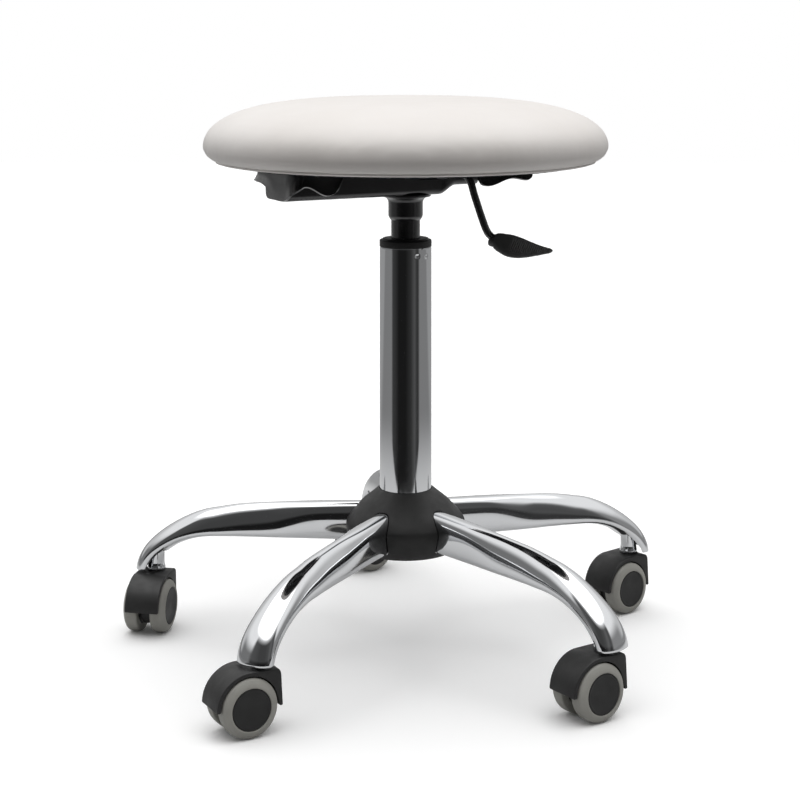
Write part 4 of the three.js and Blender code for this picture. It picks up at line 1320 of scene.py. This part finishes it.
def studio_floor():
    """Pale sweep. Other than to the camera it is greyer, and a short way in front of the stool its colour
    gives way to the dark room's levels: painted shade of the unlit room.
    """
    size = 6.0
    mesh = bpy.data.meshes.new("studio_floor")
    corners = [(-size, -size), (size, -size), (size, size), (-size, size)]
    mesh.from_pydata([(x, y, FLOOR - 0.0003) for x, y in corners], [], [(0, 1, 2, 3)])
    floor = bpy.data.objects.new("studio_floor", mesh)
    bpy.context.collection.objects.link(floor)
    material = bpy.data.materials.new("studio_floor")
    material.use_nodes = True
    graph = RayGraph(material.node_tree)
    main = graph.tree.nodes["Principled BSDF"]
    x, y, _ = graph.split(graph.node("ShaderNodeNewGeometry").outputs["Position"])
    away = graph.flat_length(x, y)
    ahead = graph.math("SUBTRACT", graph.math("MULTIPLY", graph.math("ABSOLUTE", x), FLOOR_FLARE), y)
    # Past the front edge the floor's colour takes the dark room's levels, dim things and lit doorway
    # included: painted shade of the unlit room ahead, with painted doorway light.
    past_edge = graph.step(ahead, FLOOR_REACH - 0.03, FLOOR_REACH)
    dark = graph.math("MULTIPLY", past_edge, graph.facing_front(x, y))
    far = graph.mix(graph.step(y, 0.5, 1.0), FLOOR_FAR, FLOOR_BEHIND)
    grey = graph.mix(graph.step(away, 0.45, 1.1), FLOOR_NEAR, far)
    reflected = graph.mix(dark, grey, graph.dark_room(x, y))
    seen = graph.node("ShaderNodeLightPath").outputs["Is Camera Ray"]
    shade = graph.mix(seen, reflected, FLOOR_SEEN)
    graph.tree.links.new(shade, main.inputs["Base Color"])
    main.inputs["Roughness"].default_value = 0.6
    main.inputs["Specular IOR Level"].default_value = 0.0
    mesh.materials.append(material)


def studio_world():
    """White to the camera. The stool sees a dark room, grey walls, a backdrop and a ceiling light."""
    world = bpy.data.worlds.new("studio")
    bpy.context.scene.world = world
    world.use_nodes = True
    graph = RayGraph(world.node_tree)
    background = graph.tree.nodes["Background"]
    x, y, z = graph.split(graph.node("ShaderNodeTexCoord").outputs["Generated"])
    right = graph.step(x, -0.15, 0.15)
    lifted = graph.math("MULTIPLY", graph.step(z, 0.0, 0.15), HIGHER_ROOM)
    room = graph.math("ADD", graph.dark_room(x, y), lifted)
    behind = graph.math("MULTIPLY", graph.step(y, 0.1, 0.5), graph.step(z, 0.05, 0.15))
    wall = graph.mix(behind, graph.mix(right, WALL_LEFT, WALL_RIGHT), BACKDROP)
    wall = graph.mix(graph.step(z, 0.30, 0.62), wall, UPPER_WALL)
    below_light = graph.math("SUBTRACT", 1.0, graph.step(z, 0.66, 0.86))
    ahead = graph.math("MULTIPLY", graph.facing_front(x, y), below_light)
    mirrored = graph.mix(graph.step(z, 0.76, 0.90), graph.mix(ahead, wall, room), OVERHEAD)
    sides = graph.mix(right, SOFT_LEFT, SOFT_RIGHT)
    sides = graph.mix(graph.facing_front(x, y, 0.0, 0.9), sides, SOFT_FRONT)
    gathered = graph.mix(graph.step(z, 0.60, 0.88), sides, SOFT_OVERHEAD)
    paths = graph.node("ShaderNodeLightPath").outputs
    light = graph.mix(paths["Is Diffuse Ray"], mirrored, gathered)
    graph.tree.links.new(graph.mix(paths["Is Camera Ray"], light, 1.0), background.inputs["Strength"])
    background.inputs["Color"].default_value = (1, 1, 1, 1)


def photo_camera():
    data = bpy.data.cameras.new("photo_camera")
    camera = bpy.data.objects.new("photo_camera", data)
    bpy.context.collection.objects.link(camera)
    camera.location = (0, -CAMERA_BACK, FLOOR + CAMERA_HEIGHT)
    camera.rotation_euler = (math.pi / 2, 0, 0)
    data.sensor_width = 36.0
    data.lens = 36.0 * FOCAL
    data.clip_start, data.clip_end = 0.05, 50
    for socket, value in (("shift_x", SIDE_SHIFT), ("shift_y", HORIZON_SHIFT)):
        shift_at_home(data, camera, socket, value)
    bpy.context.scene.camera = camera


def shift_at_home(data, camera, socket, value):
    """Lens shift that applies only where the photograph was taken from; other views are centred."""
    curve = data.driver_add(socket)
    for modifier in list(curve.modifiers):
        curve.modifiers.remove(modifier)
    curve.driver.type = "SUM"
    for axis in "XYZ":
        where = curve.driver.variables.new()
        where.type = "TRANSFORMS"
        where.targets[0].id = camera
        where.targets[0].transform_type = f"LOC_{axis}"
        where.targets[0].transform_space = "WORLD_SPACE"
    home = sum(camera.location)
    for offset, share in ((-0.04, 0), (-0.02, 1), (0.02, 1), (0.04, 0)):
        curve.keyframe_points.insert(home + offset, value * share).interpolation = "LINEAR"


def build_studio():
    studio_world()
    studio_floor()
    photo_camera()
    scene = bpy.context.scene
    scene.view_settings.view_transform = "Standard"


build_seat()
build_lift()
build_base()
build_studio()
